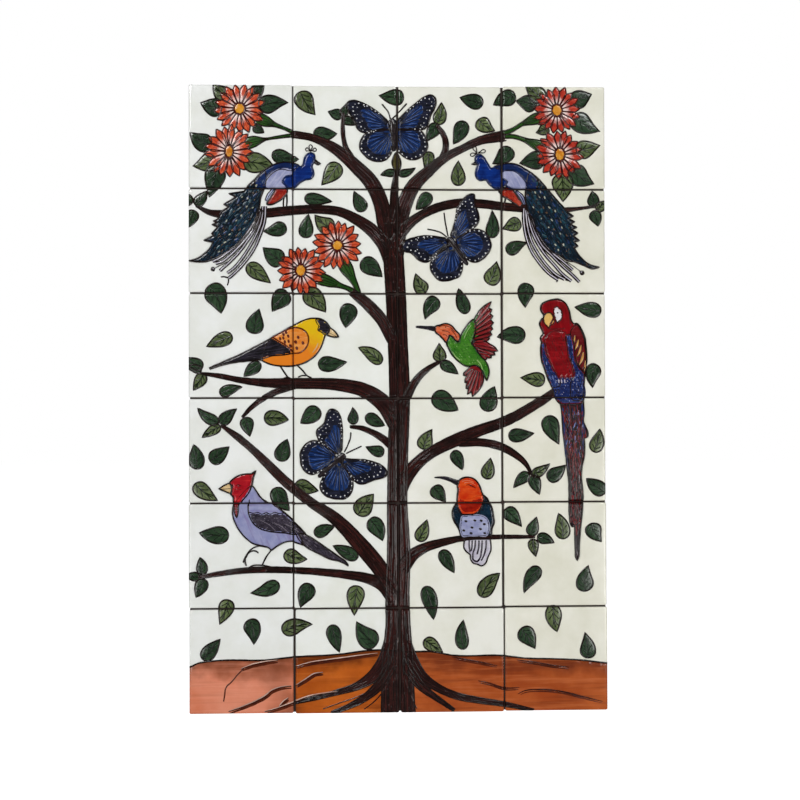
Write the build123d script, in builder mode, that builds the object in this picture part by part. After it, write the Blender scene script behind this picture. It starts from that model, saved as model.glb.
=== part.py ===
"""A tree-of-life mural of twenty-four relief clay tiles, set on a backer board.

The mural hangs upright: +X to the right, +Z up, and its picture faces -Y. The origin is the
centre of the board's back face, which lies against the wall. Every length is in millimetres,
except the tree's routes, which are in tile pitches: u to the right of the mural's left edge
and v down from its top edge, with a half width at each point.
"""

import os
from math import hypot

from build123d import *

# ---- driving dimensions ------------------------------------------------------------------
COLUMNS = 4
ROWS = 6
PITCH = 152.4  # six-inch nominal tile with its joint
TILE = 149.4  # trimmed size of one clay tile
TILE_THICK = 10.0
TILE_CORNER = 1.6  # radius of a tile's four corners, seen from the front
TILE_EDGE = 2.0  # pressed, rounded edge round a tile's face

BOARD_THICK = 6.0
BOARD_INSET = 4.0  # the board stops short of the tiles on every side
BOARD_CORNER = 3.0
BED_THICK = 2.5
BED_INSET = 2.0

KEY_COUNT = 7  # grooves pressed in a tile's back, for the mortar to grip
KEY_SPACING = 19.0
KEY_WIDTH = 9.0
KEY_LENGTH = 128.0
KEY_DEPTH = 1.5

GROUT_RECESS = 2.6  # how far the grout lies below the tile faces
GROUT_INSET = 1.0  # how far the joints stop short of the mural's edge

RELIEF = 0.8  # how far the tree stands out of a tile's face
RELIEF_MARGIN = 2.4  # the relief stops short of a tile's rounded edge

BED_Y = -BOARD_THICK
TILE_BACK_Y = BED_Y - BED_THICK
TILE_FACE_Y = TILE_BACK_Y - TILE_THICK

# The tiles are laid by hand, so they stray a little from the grid, row by row and column by
# column.
LAY_X = [
    (-0.5, -1.2, -0.8, 0.0),
    (-0.5, -1.2, -1.2, -0.4),
    (-0.4, -1.0, -1.4, -0.6),
    (0.0, -0.6, -1.2, -0.8),
    (-0.2, -0.6, -0.6, 0.0),
    (0.6, 1.2, 1.4, 0.8),
]
LAY_Z = (0.0, -0.8, -0.9, 0.0)

# ---- the tree, in tile pitches: (u, v, half width) -----------------------------------------
TRUNK = [
    (1.965, 1.30, 0.085),
    (1.955, 1.60, 0.090),
    (1.975, 2.00, 0.090),
    (1.995, 2.50, 0.088),
    (2.010, 3.00, 0.092),
    (1.995, 3.50, 0.090),
    (1.985, 4.00, 0.090),
    (1.998, 4.50, 0.105),
    (1.985, 4.90, 0.108),
    (1.990, 5.20, 0.115),
    (1.985, 5.45, 0.140),
    (1.985, 5.70, 0.150),
    (1.990, 6.00, 0.160),
]

LIMBS = [
    # the two crown limbs and the sprig between them
    [(0.99, 0.48, 0.030), (1.20, 0.52, 0.030), (1.40, 0.62, 0.045), (1.60, 0.79, 0.058),
     (1.75, 0.95, 0.065), (1.83, 1.12, 0.066), (1.88, 1.35, 0.070), (1.94, 1.60, 0.070)],
    [(3.00, 0.49, 0.048), (2.80, 0.53, 0.035), (2.60, 0.62, 0.030), (2.45, 0.70, 0.036),
     (2.30, 0.825, 0.046), (2.15, 0.97, 0.060), (2.065, 1.14, 0.066), (2.01, 1.35, 0.070),
     (1.98, 1.60, 0.070)],
    [(1.985, 0.85, 0.016), (1.968, 1.00, 0.030), (1.970, 1.20, 0.045), (1.970, 1.45, 0.050)],
    # twigs behind the upper butterfly
    [(1.48, 0.28, 0.008), (1.472, 0.40, 0.013), (1.478, 0.50, 0.014), (1.50, 0.60, 0.018),
     (1.57, 0.72, 0.022)],
    [(2.37, 0.39, 0.010), (2.42, 0.45, 0.018), (2.455, 0.53, 0.021), (2.455, 0.62, 0.024),
     (2.42, 0.72, 0.030)],
    # the peacocks' limbs
    [(0.08, 1.17, 0.006), (0.20, 1.23, 0.020), (0.32, 1.25, 0.034), (0.55, 1.245, 0.036),
     (0.75, 1.235, 0.038), (1.00, 1.210, 0.038), (1.25, 1.20, 0.035), (1.45, 1.225, 0.038),
     (1.60, 1.295, 0.045), (1.75, 1.40, 0.055), (1.86, 1.53, 0.060), (1.93, 1.70, 0.060)],
    [(3.90, 1.162, 0.006), (3.75, 1.183, 0.010), (3.60, 1.198, 0.018), (3.30, 1.190, 0.030),
     (3.00, 1.165, 0.034), (2.80, 1.142, 0.036), (2.60, 1.135, 0.036), (2.40, 1.172, 0.036),
     (2.20, 1.265, 0.036), (2.08, 1.36, 0.045), (1.98, 1.50, 0.050)],
    # the limb of the lower flowers
    [(1.57, 2.00, 0.034), (1.65, 2.06, 0.044), (1.75, 2.15, 0.050), (1.85, 2.27, 0.050),
     (1.93, 2.42, 0.050)],
    # the oriole's limb and its offshoot
    [(0.12, 2.765, 0.006), (0.30, 2.79, 0.017), (0.50, 2.83, 0.022), (0.70, 2.853, 0.033),
     (0.90, 2.86, 0.042), (1.10, 2.862, 0.045), (1.30, 2.865, 0.047), (1.50, 2.885, 0.055),
     (1.65, 2.92, 0.060), (1.78, 2.99, 0.070), (1.88, 3.08, 0.075), (1.96, 3.22, 0.075)],
    [(0.515, 3.18, 0.007), (0.60, 3.09, 0.015), (0.72, 3.00, 0.020), (0.85, 2.935, 0.024),
     (1.00, 2.89, 0.024)],
    # twigs of the middle rows
    [(1.54, 3.275, 0.008), (1.65, 3.29, 0.017), (1.75, 3.33, 0.022), (1.85, 3.39, 0.028),
     (1.93, 3.46, 0.030)],
    [(2.40, 2.655, 0.008), (2.30, 2.71, 0.018), (2.22, 2.775, 0.025), (2.15, 2.86, 0.030),
     (2.10, 2.95, 0.035), (2.05, 3.05, 0.036)],
    # the macaw's limb and its offshoot
    [(3.52, 2.93, 0.030), (3.40, 3.015, 0.036), (3.25, 3.105, 0.040), (3.10, 3.19, 0.042),
     (2.95, 3.255, 0.045), (2.80, 3.305, 0.048), (2.60, 3.385, 0.055), (2.40, 3.475, 0.050),
     (2.25, 3.565, 0.050), (2.15, 3.655, 0.055), (2.06, 3.78, 0.060), (2.00, 3.92, 0.060)],
    [(3.275, 3.74, 0.006), (3.22, 3.64, 0.016), (3.10, 3.535, 0.028), (2.95, 3.46, 0.032),
     (2.80, 3.43, 0.032), (2.60, 3.43, 0.034)],
    # the long diagonal limb
    [(0.315, 3.26, 0.008), (0.45, 3.355, 0.025), (0.60, 3.48, 0.028), (0.75, 3.625, 0.036),
     (0.90, 3.775, 0.040), (1.05, 3.905, 0.040), (1.20, 4.02, 0.040), (1.35, 4.115, 0.050),
     (1.50, 4.25, 0.060), (1.62, 4.385, 0.068), (1.72, 4.50, 0.072), (1.80, 4.60, 0.070),
     (1.88, 4.72, 0.065), (1.95, 4.85, 0.060)],
    # the two lowest limbs
    [(0.125, 4.695, 0.008), (0.30, 4.665, 0.018), (0.50, 4.64, 0.022), (0.75, 4.63, 0.024),
     (1.00, 4.638, 0.024), (1.25, 4.655, 0.028), (1.50, 4.683, 0.034), (1.70, 4.72, 0.042),
     (1.84, 4.78, 0.055), (1.94, 4.90, 0.060)],
    [(3.30, 4.332, 0.008), (3.10, 4.332, 0.013), (2.90, 4.333, 0.016), (2.60, 4.345, 0.022),
     (2.40, 4.385, 0.032), (2.25, 4.43, 0.040), (2.13, 4.50, 0.052), (2.04, 4.62, 0.060)],
]

ROOTS = [
    [(1.90, 5.36, 0.050), (1.86, 5.50, 0.060), (1.76, 5.64, 0.055), (1.60, 5.74, 0.034),
     (1.40, 5.80, 0.022), (1.20, 5.85, 0.016), (1.00, 5.895, 0.010)],
    [(1.92, 5.55, 0.050), (1.82, 5.72, 0.045), (1.66, 5.86, 0.030), (1.50, 5.94, 0.020),
     (1.36, 5.99, 0.012)],
    [(2.07, 5.36, 0.050), (2.12, 5.50, 0.055), (2.22, 5.66, 0.048), (2.36, 5.76, 0.034),
     (2.54, 5.84, 0.030), (2.75, 5.885, 0.026), (3.00, 5.925, 0.020), (3.28, 5.985, 0.010)],
    [(2.10, 5.60, 0.045), (2.20, 5.74, 0.036), (2.34, 5.85, 0.024), (2.52, 5.975, 0.012)],
]


def tile_centre(row, column):
    """The place of a tile's centre on the mural's face, as x and z."""
    x = (column + 0.5 - COLUMNS / 2) * PITCH + LAY_X[row][column]
    z = (ROWS / 2 - row - 0.5) * PITCH + LAY_Z[column]
    return x, z


def face_plane(y, x=0.0, z=0.0):
    """A plane parallel to the wall, whose normal points out of the picture."""
    return Plane(origin=(x, y, z), x_dir=(1, 0, 0), z_dir=(0, -1, 0))


def on_face(u, v):
    """A point given in tile pitches, as x and z."""
    return (u - COLUMNS / 2) * PITCH, (ROWS / 2 - v) * PITCH


def limb_sides(route):
    """The two long sides of a tapering limb, as lists of points."""
    points = [on_face(u, v) for u, v, _ in route]
    left = []
    right = []
    for i, (x, z) in enumerate(points):
        x0, z0 = points[max(i - 1, 0)]
        x1, z1 = points[min(i + 1, len(points) - 1)]
        run = hypot(x1 - x0, z1 - z0)
        half = route[i][2] * PITCH
        across = (-(z1 - z0) / run * half, (x1 - x0) / run * half)
        left.append((x + across[0], z + across[1]))
        right.append((x - across[0], z - across[1]))
    return left, right


def reaches(route, x, z):
    """True if a limb comes onto the face of the tile centred at x and z."""
    reach = TILE / 2 - RELIEF_MARGIN
    sides = [p for side in limb_sides(route) for p in side]
    across = max(p[0] for p in sides) > x - reach and min(p[0] for p in sides) < x + reach
    along = max(p[1] for p in sides) > z - reach and min(p[1] for p in sides) < z + reach
    return across and along


def limb_shape(route):
    """The flat outline of one limb, filled."""
    left, right = limb_sides(route)
    with BuildSketch() as shape:
        with BuildLine():
            Spline(left)
            Line(left[-1], right[-1])
            Spline(right[::-1])
            Line(right[0], left[0])
        make_face()
    return shape.sketch


def key_places(x, z):
    """The centres of the grooves in the back of the tile centred at x and z."""
    first = -(KEY_COUNT - 1) / 2 * KEY_SPACING
    return [(x + first + i * KEY_SPACING, z) for i in range(KEY_COUNT)]


def make_tile(row, column):
    """One clay tile: a pressed slab with a rounded edge, back grooves and the tree in relief."""
    x, z = tile_centre(row, column)
    routes = [r for r in [TRUNK] + LIMBS + ROOTS if reaches(r, x, z)]
    with BuildPart() as tile:
        with BuildSketch(face_plane(TILE_BACK_Y, x, z)):
            RectangleRounded(TILE, TILE, TILE_CORNER)
        extrude(amount=TILE_THICK)
        fillet(tile.faces().sort_by(Axis.Y)[0].edges(), TILE_EDGE)
        with BuildSketch(face_plane(TILE_BACK_Y)):
            with Locations(*key_places(x, z)):
                SlotOverall(KEY_LENGTH, KEY_WIDTH, rotation=90)
        extrude(amount=KEY_DEPTH, mode=Mode.SUBTRACT)
        if routes:
            with BuildSketch(face_plane(TILE_FACE_Y)) as tree:
                for route in routes:
                    add(limb_shape(route))
                with Locations((x, z)):
                    side = TILE - 2 * RELIEF_MARGIN
                    Rectangle(side, side, mode=Mode.INTERSECT)
            extrude(tree.sketch, amount=RELIEF)
    return tile.part


def make_board():
    """The fibre-cement board that carries the tiles, with its back against the wall."""
    with BuildPart() as board:
        with BuildSketch(face_plane(0)):
            width = COLUMNS * PITCH - 2 * BOARD_INSET
            height = ROWS * PITCH - 2 * BOARD_INSET
            RectangleRounded(width, height, BOARD_CORNER)
        extrude(amount=BOARD_THICK)
    return board.part


def make_bed():
    """The mortar bed between board and tiles, keyed into the grooves of every tile."""
    with BuildPart() as bed:
        with BuildSketch(face_plane(BED_Y)):
            inset = BOARD_INSET + BED_INSET
            Rectangle(COLUMNS * PITCH - 2 * inset, ROWS * PITCH - 2 * inset)
        extrude(amount=BED_THICK)
        with BuildSketch(face_plane(TILE_BACK_Y)):
            for row in range(ROWS):
                for column in range(COLUMNS):
                    with Locations(*key_places(*tile_centre(row, column))):
                        SlotOverall(KEY_LENGTH, KEY_WIDTH, rotation=90)
        extrude(amount=KEY_DEPTH)
    return bed.part


def make_grout():
    """The dark grout in the joints: a lattice that fills what the tiles leave between them."""
    with BuildPart() as grout:
        with BuildSketch(face_plane(TILE_BACK_Y)):
            joint = PITCH - TILE
            inset = joint / 2 + GROUT_INSET
            Rectangle(COLUMNS * PITCH - 2 * inset, ROWS * PITCH - 2 * inset)
            for row in range(ROWS):
                for column in range(COLUMNS):
                    with Locations(tile_centre(row, column)):
                        RectangleRounded(TILE, TILE, TILE_CORNER, mode=Mode.SUBTRACT)
        extrude(amount=TILE_THICK - GROUT_RECESS)
    return grout.part


def save(part, name):
    """Labels a piece and writes its STEP file."""
    part.label = name
    export_step(part, f"parts/{name}.step")


os.makedirs("parts", exist_ok=True)
save(make_board(), "backer_board")
save(make_bed(), "setting_bed")
save(make_grout(), "joint_grout")
for tile_row in range(ROWS):
    for tile_column in range(COLUMNS):
        save(make_tile(tile_row, tile_column), f"tile_r{tile_row + 1}_c{tile_column + 1}")
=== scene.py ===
"""The look of the tree-of-life tile mural: glazed relief artwork on the packed clay tiles.

The mural faces -Y, with +X to the right and +Z up. The artwork is laid out in tile pitches: u to
the right of the mural's left edge and v down from its top edge. Heights above the white glaze,
line widths and the like are in millimetres until a tile is built; the meshes are in metres.
"""

from math import atan2, ceil, cos, hypot, pi, radians, sin, sqrt
from random import Random

import bmesh
import bpy
from mathutils import Matrix, Vector, noise
from mathutils.geometry import delaunay_2d_cdt
from mathutils.kdtree import KDTree


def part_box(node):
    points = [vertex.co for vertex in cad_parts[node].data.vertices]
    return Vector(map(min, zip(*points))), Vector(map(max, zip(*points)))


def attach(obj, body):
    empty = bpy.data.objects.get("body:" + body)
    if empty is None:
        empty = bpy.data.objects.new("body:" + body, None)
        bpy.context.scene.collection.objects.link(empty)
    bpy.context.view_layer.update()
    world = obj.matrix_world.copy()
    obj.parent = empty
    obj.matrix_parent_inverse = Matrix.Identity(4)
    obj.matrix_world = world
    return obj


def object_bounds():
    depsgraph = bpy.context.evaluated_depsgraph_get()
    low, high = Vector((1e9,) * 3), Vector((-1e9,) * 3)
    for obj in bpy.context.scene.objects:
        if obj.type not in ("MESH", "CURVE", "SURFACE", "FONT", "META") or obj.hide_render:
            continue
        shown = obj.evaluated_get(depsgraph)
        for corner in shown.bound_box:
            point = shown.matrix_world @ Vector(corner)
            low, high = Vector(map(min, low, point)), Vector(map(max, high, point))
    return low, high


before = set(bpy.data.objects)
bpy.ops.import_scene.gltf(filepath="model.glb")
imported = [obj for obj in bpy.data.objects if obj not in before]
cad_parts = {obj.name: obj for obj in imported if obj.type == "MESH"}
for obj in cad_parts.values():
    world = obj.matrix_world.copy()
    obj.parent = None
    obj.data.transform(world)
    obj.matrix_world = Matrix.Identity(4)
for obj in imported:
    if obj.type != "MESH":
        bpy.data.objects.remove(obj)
CAD_LOW, CAD_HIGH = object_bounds()

MM = 0.001
PITCH = 152.4
COLUMNS = 4
ROWS = 6
SEED = 24

# ---- the white glaze on each tile, in millimetres -------------------------------------------
SKIN = 0.25  # the glaze stands this far out of the clay's sides
SKIN_FACE = 0.5  # and this far out of its face
ROUND = 2.4  # radius of a glazed tile's edge
THINNED = 0.2  # the artwork keeps this share of its height on a tile's side
WRAP = 5.5  # how far down the sides the glaze reaches
WRAP_WANDER = 0.22  # the share by which that varies
WRAP_LENGTH = 14  # over about this length
SKIRT = 2.2  # how far down the sides the artwork reaches
SKIRT_WANDER = 0.3
SKIRT_LENGTH = 6
TUCK = 0.6  # the lower edges on the sides lie this much deeper
LIP = 1.5  # the glaze's last ring turns in to the clay by this much
SWELL = 0.22  # slow waviness of the fired face
SWELL_LENGTH = 55  # over about this length
RIPPLE = 0.05  # quicker waviness on top of it
RIPPLE_LENGTH = 11
GRID = 60  # squares across the flat part of a tile's skin
FLOOR = -0.2  # artwork starts this far under the white glaze's surface
STEP = 1.3  # spacing of the points along a line

# ---- heights of the artwork above the white glaze, in millimetres ---------------------------
LEAF = 0.45
STEM = 0.5
GROUND = 0.55
BARK = 0.8
PETAL = 0.75
CORE = 1.25
WING = 1.35
BIRD = 1.4
LINE = 0.42  # how far an outline stands above what it edges

LINE_HALF = 1.3  # half width of an ordinary outline
LEAST_HALF = 0.08  # no line is drawn thinner than this half width
MARK_DEPTH = 0.5  # how far the sides of a mark on a pool reach down
LINE_RIM = 1.6  # the rim colour fades over this much of a line's or a band's side
POOL_RIM = 2.2  # and over this much of a pool's edge
WANDER = 0.14  # how far a line squeezed out by hand strays
WANDER_LENGTH = 9  # over about this length
WEIGHT = 0.22  # the share by which its width varies
WEIGHT_LENGTH = 7
RUN_ON = 0.7  # a limb's band runs past its ends by this share of its half width
AROUND_DOT = 12  # corners of a round drop of glaze
MID_TONE = 0.5  # the tone of a glaze that keeps its own colour; 0 is darker and 1 is lighter
TINY = 1e-6

ART = []  # every drawn element: its points, its faces and its glaze
dice = Random(SEED)


# ---- drawing ------------------------------------------------------------------------------
def at(u, v):
    """A point given in tile pitches, as x and z in millimetres."""
    return (u - COLUMNS / 2) * PITCH, (ROWS / 2 - v) * PITCH


def curve(points, closed=False, step=STEP):
    """A smooth line through the points, sampled about evenly. Every value of a point is carried along."""
    count = len(points)
    line = []
    for i in range(count if closed else count - 1):
        p1 = points[i]
        p2 = points[(i + 1) % count]
        p0 = points[i - 1] if closed or i else p1
        p3 = points[(i + 2) % count] if closed or i + 2 < count else p2
        before = hypot(p1[0] - p0[0], p1[1] - p0[1])
        here = max(hypot(p2[0] - p1[0], p2[1] - p1[1]), TINY)
        after = hypot(p3[0] - p2[0], p3[1] - p2[1])
        parts = max(1, ceil(here / step))
        for k in range(parts):
            t = k / parts
            line.append(tuple(
                blend_value(a, b, c, d, before, here, after, t)
                for a, b, c, d in zip(p0, p1, p2, p3)
            ))
    if not closed:
        line.append(tuple(points[-1]))
    return line


def blend_value(a, b, c, d, before, here, after, t):
    """One value of a smooth line between b and c, with a before them and d after them."""
    slope = (c - b) / here
    start = slope if before < TINY else ((b - a) / before * here + slope * before) / (before + here)
    end = slope if after < TINY else ((d - c) / after * here + slope * after) / (here + after)
    t2 = t * t
    t3 = t2 * t
    return (
        (2 * t3 - 3 * t2 + 1) * b + (t3 - 2 * t2 + t) * start * here
        + (3 * t2 - 2 * t3) * c + (t3 - t2) * end * here
    )


def outline(points):
    """A closed smooth outline, in millimetres. A point with a third value is a sharp corner."""
    corners = [i for i, p in enumerate(points) if len(p) > 2]
    placed = [at(p[0], p[1]) for p in points]
    if not corners:
        return curve(placed, closed=True)
    line = []
    for i, first in enumerate(corners):
        last = corners[(i + 1) % len(corners)]
        if last <= first:
            last += len(points)
        run = [placed[k % len(points)] for k in range(first, last + 1)]
        line += curve(run)[:-1]
    return line


def element(points, faces, glaze):
    """Keeps a drawn element. Each point is x, z, height, rim, blend, along, across and tone."""
    xs = [p[0] for p in points]
    zs = [p[1] for p in points]
    box = (min(xs), max(xs), min(zs), max(zs))
    ART.append((points, faces, glaze, box))


def ribbon(line, glaze, top, across=5, power=2.0, tone=MID_TONE, turn=1.0, base=FLOOR):
    """A rounded band of glaze along a line of x, z and half width. Its blend runs from start to end."""
    reach = max(max(p[2] for p in line), 0.1)
    full = min(turn, reach)
    points = []
    travelled = 0.0
    total = sum(hypot(b[0] - a[0], b[1] - a[1]) for a, b in zip(line, line[1:]))
    for i, (x, z, half) in enumerate(line):
        x0, z0 = line[max(i - 1, 0)][:2]
        x1, z1 = line[min(i + 1, len(line) - 1)][:2]
        run = max(hypot(x1 - x0, z1 - z0), TINY)
        nx = -(z1 - z0) / run
        nz = (x1 - x0) / run
        if i:
            travelled += hypot(x - line[i - 1][0], z - line[i - 1][1])
        half = max(half, LEAST_HALF)
        rise = (top - base) * sqrt(min(1.0, half / full))
        for j in range(across):
            side = sin(pi / 2 * (2 * j / (across - 1) - 1))
            crown = max(0.0, 1 - abs(side) ** power) ** (1 / power)
            rim = max(0.0, 1 - half * (1 - abs(side)) / LINE_RIM)
            points.append((
                x + nx * half * side, z + nz * half * side, base + rise * crown,
                rim, travelled / max(total, TINY), travelled, half * side, tone,
            ))
    faces = []
    for i in range(len(line) - 1):
        for j in range(across - 1):
            a = i * across + j
            faces.append((a, a + across, a + across + 1, a + 1))
    element(points, faces, glaze)


def round_ends(line):
    """The same line of x, z and half width, with its ends rounded off."""
    done = list(line)
    for order in (1, -1):
        path = done[::order]
        reach = max(path[0][2], 0.3)
        gone = 0.0
        shaped = []
        for i, (x, z, half) in enumerate(path):
            if i:
                gone += hypot(x - path[i - 1][0], z - path[i - 1][1])
            part = min(1.0, gone / reach)
            shaped.append((x, z, half * sqrt(1 - (1 - part) ** 2)))
        done = shaped[::order]
    return done


def lengthen(line):
    """The same line of x, z and half width, run on at both ends by a share of its half width there."""
    done = list(line)
    for order in (1, -1):
        path = done[::order]
        (x0, z0, half), (x1, z1, _) = path[:2]
        run = max(hypot(x1 - x0, z1 - z0), TINY)
        parts = max(1, ceil(half * RUN_ON / STEP))
        extra = []
        for k in range(parts, 0, -1):
            away = half * RUN_ON * k / parts
            extra.append((x0 - (x1 - x0) / run * away, z0 - (z1 - z0) / run * away, half))
        done = (extra + path)[::order]
    return done


def shaky(line):
    """The same line, with the slight wander and uneven weight of a line squeezed out by hand."""
    done = []
    for x, z, half in line:
        wander = noise.noise(Vector((x / WANDER_LENGTH, z / WANDER_LENGTH, 3.1))) * WANDER
        weight = 1 + WEIGHT * noise.noise(Vector((x / WEIGHT_LENGTH, z / WEIGHT_LENGTH, 8.7)))
        done.append((x + wander, z - wander, half * weight))
    return done


def stroke(points, half, glaze, top, tone=MID_TONE, closed=False, placed=False, base=FLOOR):
    """A raised line through points given in tile pitches, or in millimetres if already placed."""
    line = points if placed else curve([at(p[0], p[1]) for p in points], closed)
    if closed:
        line = list(line) + list(line[:2])
    line = [(p[0], p[1], half) for p in line]
    if not closed:
        line = round_ends(line)
    ribbon(shaky(line), glaze, top, power=3.0, tone=tone, base=base)


def mark(points, half, glaze, top, tone=MID_TONE, placed=False):
    """A raised line on a pool of glaze, whose sides stop just inside the pool."""
    stroke(points, half, glaze, top, tone, placed=placed, base=top - MARK_DEPTH)


def taper(points, glaze, top, power=2.0, tone=MID_TONE, base=FLOOR):
    """A band through points of u, v and half width in tile pitches."""
    line = curve([(*at(u, v), half * PITCH) for u, v, half in points])
    ribbon(shaky(round_ends(line)), glaze, top, 7, power, tone, base=base)


def inner_points(border, spacing):
    """Evenly staggered points inside a border, clear of its edge, each with its distance to it."""
    tree = KDTree(len(border))
    for i, p in enumerate(border):
        tree.insert((p[0], p[1], 0), i)
    tree.balance()
    low_x = min(p[0] for p in border)
    high_x = max(p[0] for p in border)
    low_z = min(p[1] for p in border)
    high_z = max(p[1] for p in border)
    found = []
    row_height = spacing * sqrt(3) / 2
    for row in range(int((high_z - low_z) / row_height) + 1):
        z = low_z + (row + 0.5) * row_height
        shift = spacing / 2 if row % 2 else 0.0
        crossings = sorted(cross_row(border, z))
        for left, right in zip(crossings[::2], crossings[1::2]):
            first = ceil((left - low_x - shift) / spacing)
            x = low_x + shift + first * spacing
            while x < right:
                away = tree.find((x, z, 0))[2]
                if away > spacing * 0.5:
                    found.append((x, z, away))
                x += spacing
    return found


def cross_row(border, z):
    """Where a level line at z crosses a border."""
    found = []
    x0, z0 = border[-1][:2]
    for p in border:
        x1, z1 = p[0], p[1]
        if (z1 > z) != (z0 > z):
            found.append((x0 - x1) * (z - z1) / (z0 - z1) + x1)
        x0, z0 = x1, z1
    return found


def pool(border, glaze, top, crown=0.35, edge=3.0, spacing=1.7, flow=None):
    """A domed pool of glaze that fills a border given in millimetres. flow gives blend, along and across."""
    inner = inner_points(border, spacing)
    flat = [Vector(p[:2]) for p in border + inner]
    ring = list(range(len(border)))
    spots, _, faces, origins, _, _ = delaunay_2d_cdt(flat, [], [ring], 1, 1e-6)
    points = []
    for spot, origin in zip(spots, origins):
        on_border = not origin or min(origin) < len(border)
        away = 0.0 if on_border else inner[min(origin) - len(border)][2]
        part = min(1.0, away / edge)
        height = FLOOR if on_border else top - crown * (1 - sqrt(1 - (1 - part) ** 2))
        along = flow(spot[0], spot[1]) if flow else (0.5, spot[0], spot[1])
        points.append((spot[0], spot[1], height, max(0.0, 1 - away / POOL_RIM), *along, MID_TONE))
    turned = []
    for face in faces:
        a, b, c = (spots[k] for k in face[:3])
        up = (b[0] - a[0]) * (c[1] - a[1]) - (b[1] - a[1]) * (c[0] - a[0]) > 0
        turned.append(tuple(face) if up else tuple(reversed(face)))
    element(points, turned, glaze)


def directed(start, end):
    """A flow that runs from one place to another, both in tile pitches."""
    x0, z0 = at(*start)
    x1, z1 = at(*end)
    run = hypot(x1 - x0, z1 - z0)
    dx = (x1 - x0) / run
    dz = (z1 - z0) / run

    def flow(x, z):
        along = (x - x0) * dx + (z - z0) * dz
        return along / run, along, (z - z0) * dx - (x - x0) * dz

    return flow


def shape(points, glaze, top, line="line", half=LINE_HALF, crown=0.35, edge=3.0, flow=None):
    """A pool of glaze with a raised outline round it."""
    border = outline(points)
    pool(border, glaze, top, crown, edge, flow=flow)
    if line:
        stroke(border, half, line, top + LINE, closed=True, placed=True)


def dot(u, v, radius, glaze, top):
    """A round drop of glaze."""
    x, z = at(u, v)
    points = [(x, z, top, 0.0, 0.5, 0.0, 0.0, MID_TONE)]
    rings = ((0.45, 0.92), (0.8, 0.62), (1.0, 0.0))
    for share, height in rings:
        for k in range(AROUND_DOT):
            angle = 2 * pi * k / AROUND_DOT
            px = x + radius * share * cos(angle)
            pz = z + radius * share * sin(angle)
            points.append((px, pz, FLOOR + (top - FLOOR) * height, share, 0.5, px, pz, MID_TONE))
    faces = [(0, 1 + k, 1 + (k + 1) % AROUND_DOT) for k in range(AROUND_DOT)]
    for ring in range(len(rings) - 1):
        first = 1 + ring * AROUND_DOT
        for k in range(AROUND_DOT):
            n = (k + 1) % AROUND_DOT
            faces.append((first + k, first + AROUND_DOT + k, first + AROUND_DOT + n, first + n))
    element(points, faces, glaze)


# ---- building the tiles ---------------------------------------------------------------------
def overhang(x, z, area):
    """How far a place lies out past the flat part of a tile's face, across and up."""
    left, right, bottom, top = area[:4]
    across = max(0.0, x - (right - ROUND)) - max(0.0, (left + ROUND) - x)
    up = max(0.0, z - (top - ROUND)) - max(0.0, (bottom + ROUND) - z)
    return across, up


def wrap(x, z, height, depth, area):
    """Lays a point of the flat artwork over a tile's face, its rounded edge or its side, in metres."""
    face, seed = area[4:]
    ex, ez = overhang(x, z, area)
    reach = hypot(ex, ez)
    wave = SWELL * noise.noise(Vector((x / SWELL_LENGTH, z / SWELL_LENGTH, seed)))
    wave += RIPPLE * noise.noise(Vector((x / RIPPLE_LENGTH, z / RIPPLE_LENGTH, seed + 5)))
    if reach < 1e-9:
        return x * MM, face - (height + wave) * MM, z * MM
    angle = min(reach / ROUND, 1.0) * pi / 2
    over = 1 - sin(angle)
    thick = height * (THINNED + (1 - THINNED) * over)
    out = (ROUND + thick) * sin(angle)
    px = x - ex + ex / reach * out
    pz = z - ez + ez / reach * out
    py = -ROUND + (ROUND + thick) * cos(angle) + wave * over - depth
    return px * MM, face - py * MM, pz * MM


def cut_lines(low, high):
    """Where the artwork is cut along one direction, with the side that falls away, if any."""
    insets = (0.0, 0.5, 1.1, 1.8, ROUND)
    return [(low + i, -1, not i) for i in insets] + [(high - i, 1, not i) for i in insets]


def trim(points, faces, area):
    """Cuts elements off at a tile's edges, with extra cuts where the edge rounds, and hangs a skirt."""
    left, right, bottom, top = area[:4]
    bm = bmesh.new()
    extra = [bm.verts.layers.float.new(name) for name in ("a", "b", "c", "d", "e")]
    made = []
    for p in points:
        vert = bm.verts.new(p[:3])
        for layer, value in zip(extra, p[3:]):
            vert[layer] = value
        made.append(vert)
    kind = bm.faces.layers.int.new("kind")
    for corners, glaze in faces:
        face = bm.faces.new([made[k] for k in corners])
        face[kind] = glaze
    for axis, low, high in ((0, left, right), (1, bottom, top)):
        for place, side, clear in cut_lines(low, high):
            near = [f for f in bm.faces if crosses(f, axis, place, side, clear)]
            if not near:
                continue
            geom = dict.fromkeys(near)  # kept in order, so that every run cuts alike
            for face in near:
                geom.update(dict.fromkeys(face.edges))
                geom.update(dict.fromkeys(face.verts))
            where = [0.0, 0.0, 0.0]
            where[axis] = place
            normal = [0.0, 0.0, 0.0]
            normal[axis] = side
            bmesh.ops.bisect_plane(bm, geom=list(geom), dist=1e-5, plane_co=where,
                                   plane_no=normal, clear_outer=clear)
    bm.verts.index_update()
    kept = [(*v.co, *[v[layer] for layer in extra], 0.0) for v in bm.verts]
    shown = [([v.index for v in f.verts], f[kind]) for f in bm.faces]
    hang_skirt(bm, kind, kept, shown, area)
    bm.free()
    return kept, shown


def crosses(face, axis, place, side, clear):
    """True if a face reaches across a cut, or lies wholly beyond one that clears."""
    reach = [(v.co[axis] - place) * side for v in face.verts]
    return max(reach) > 0 and (clear or min(reach) < 0)


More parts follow.
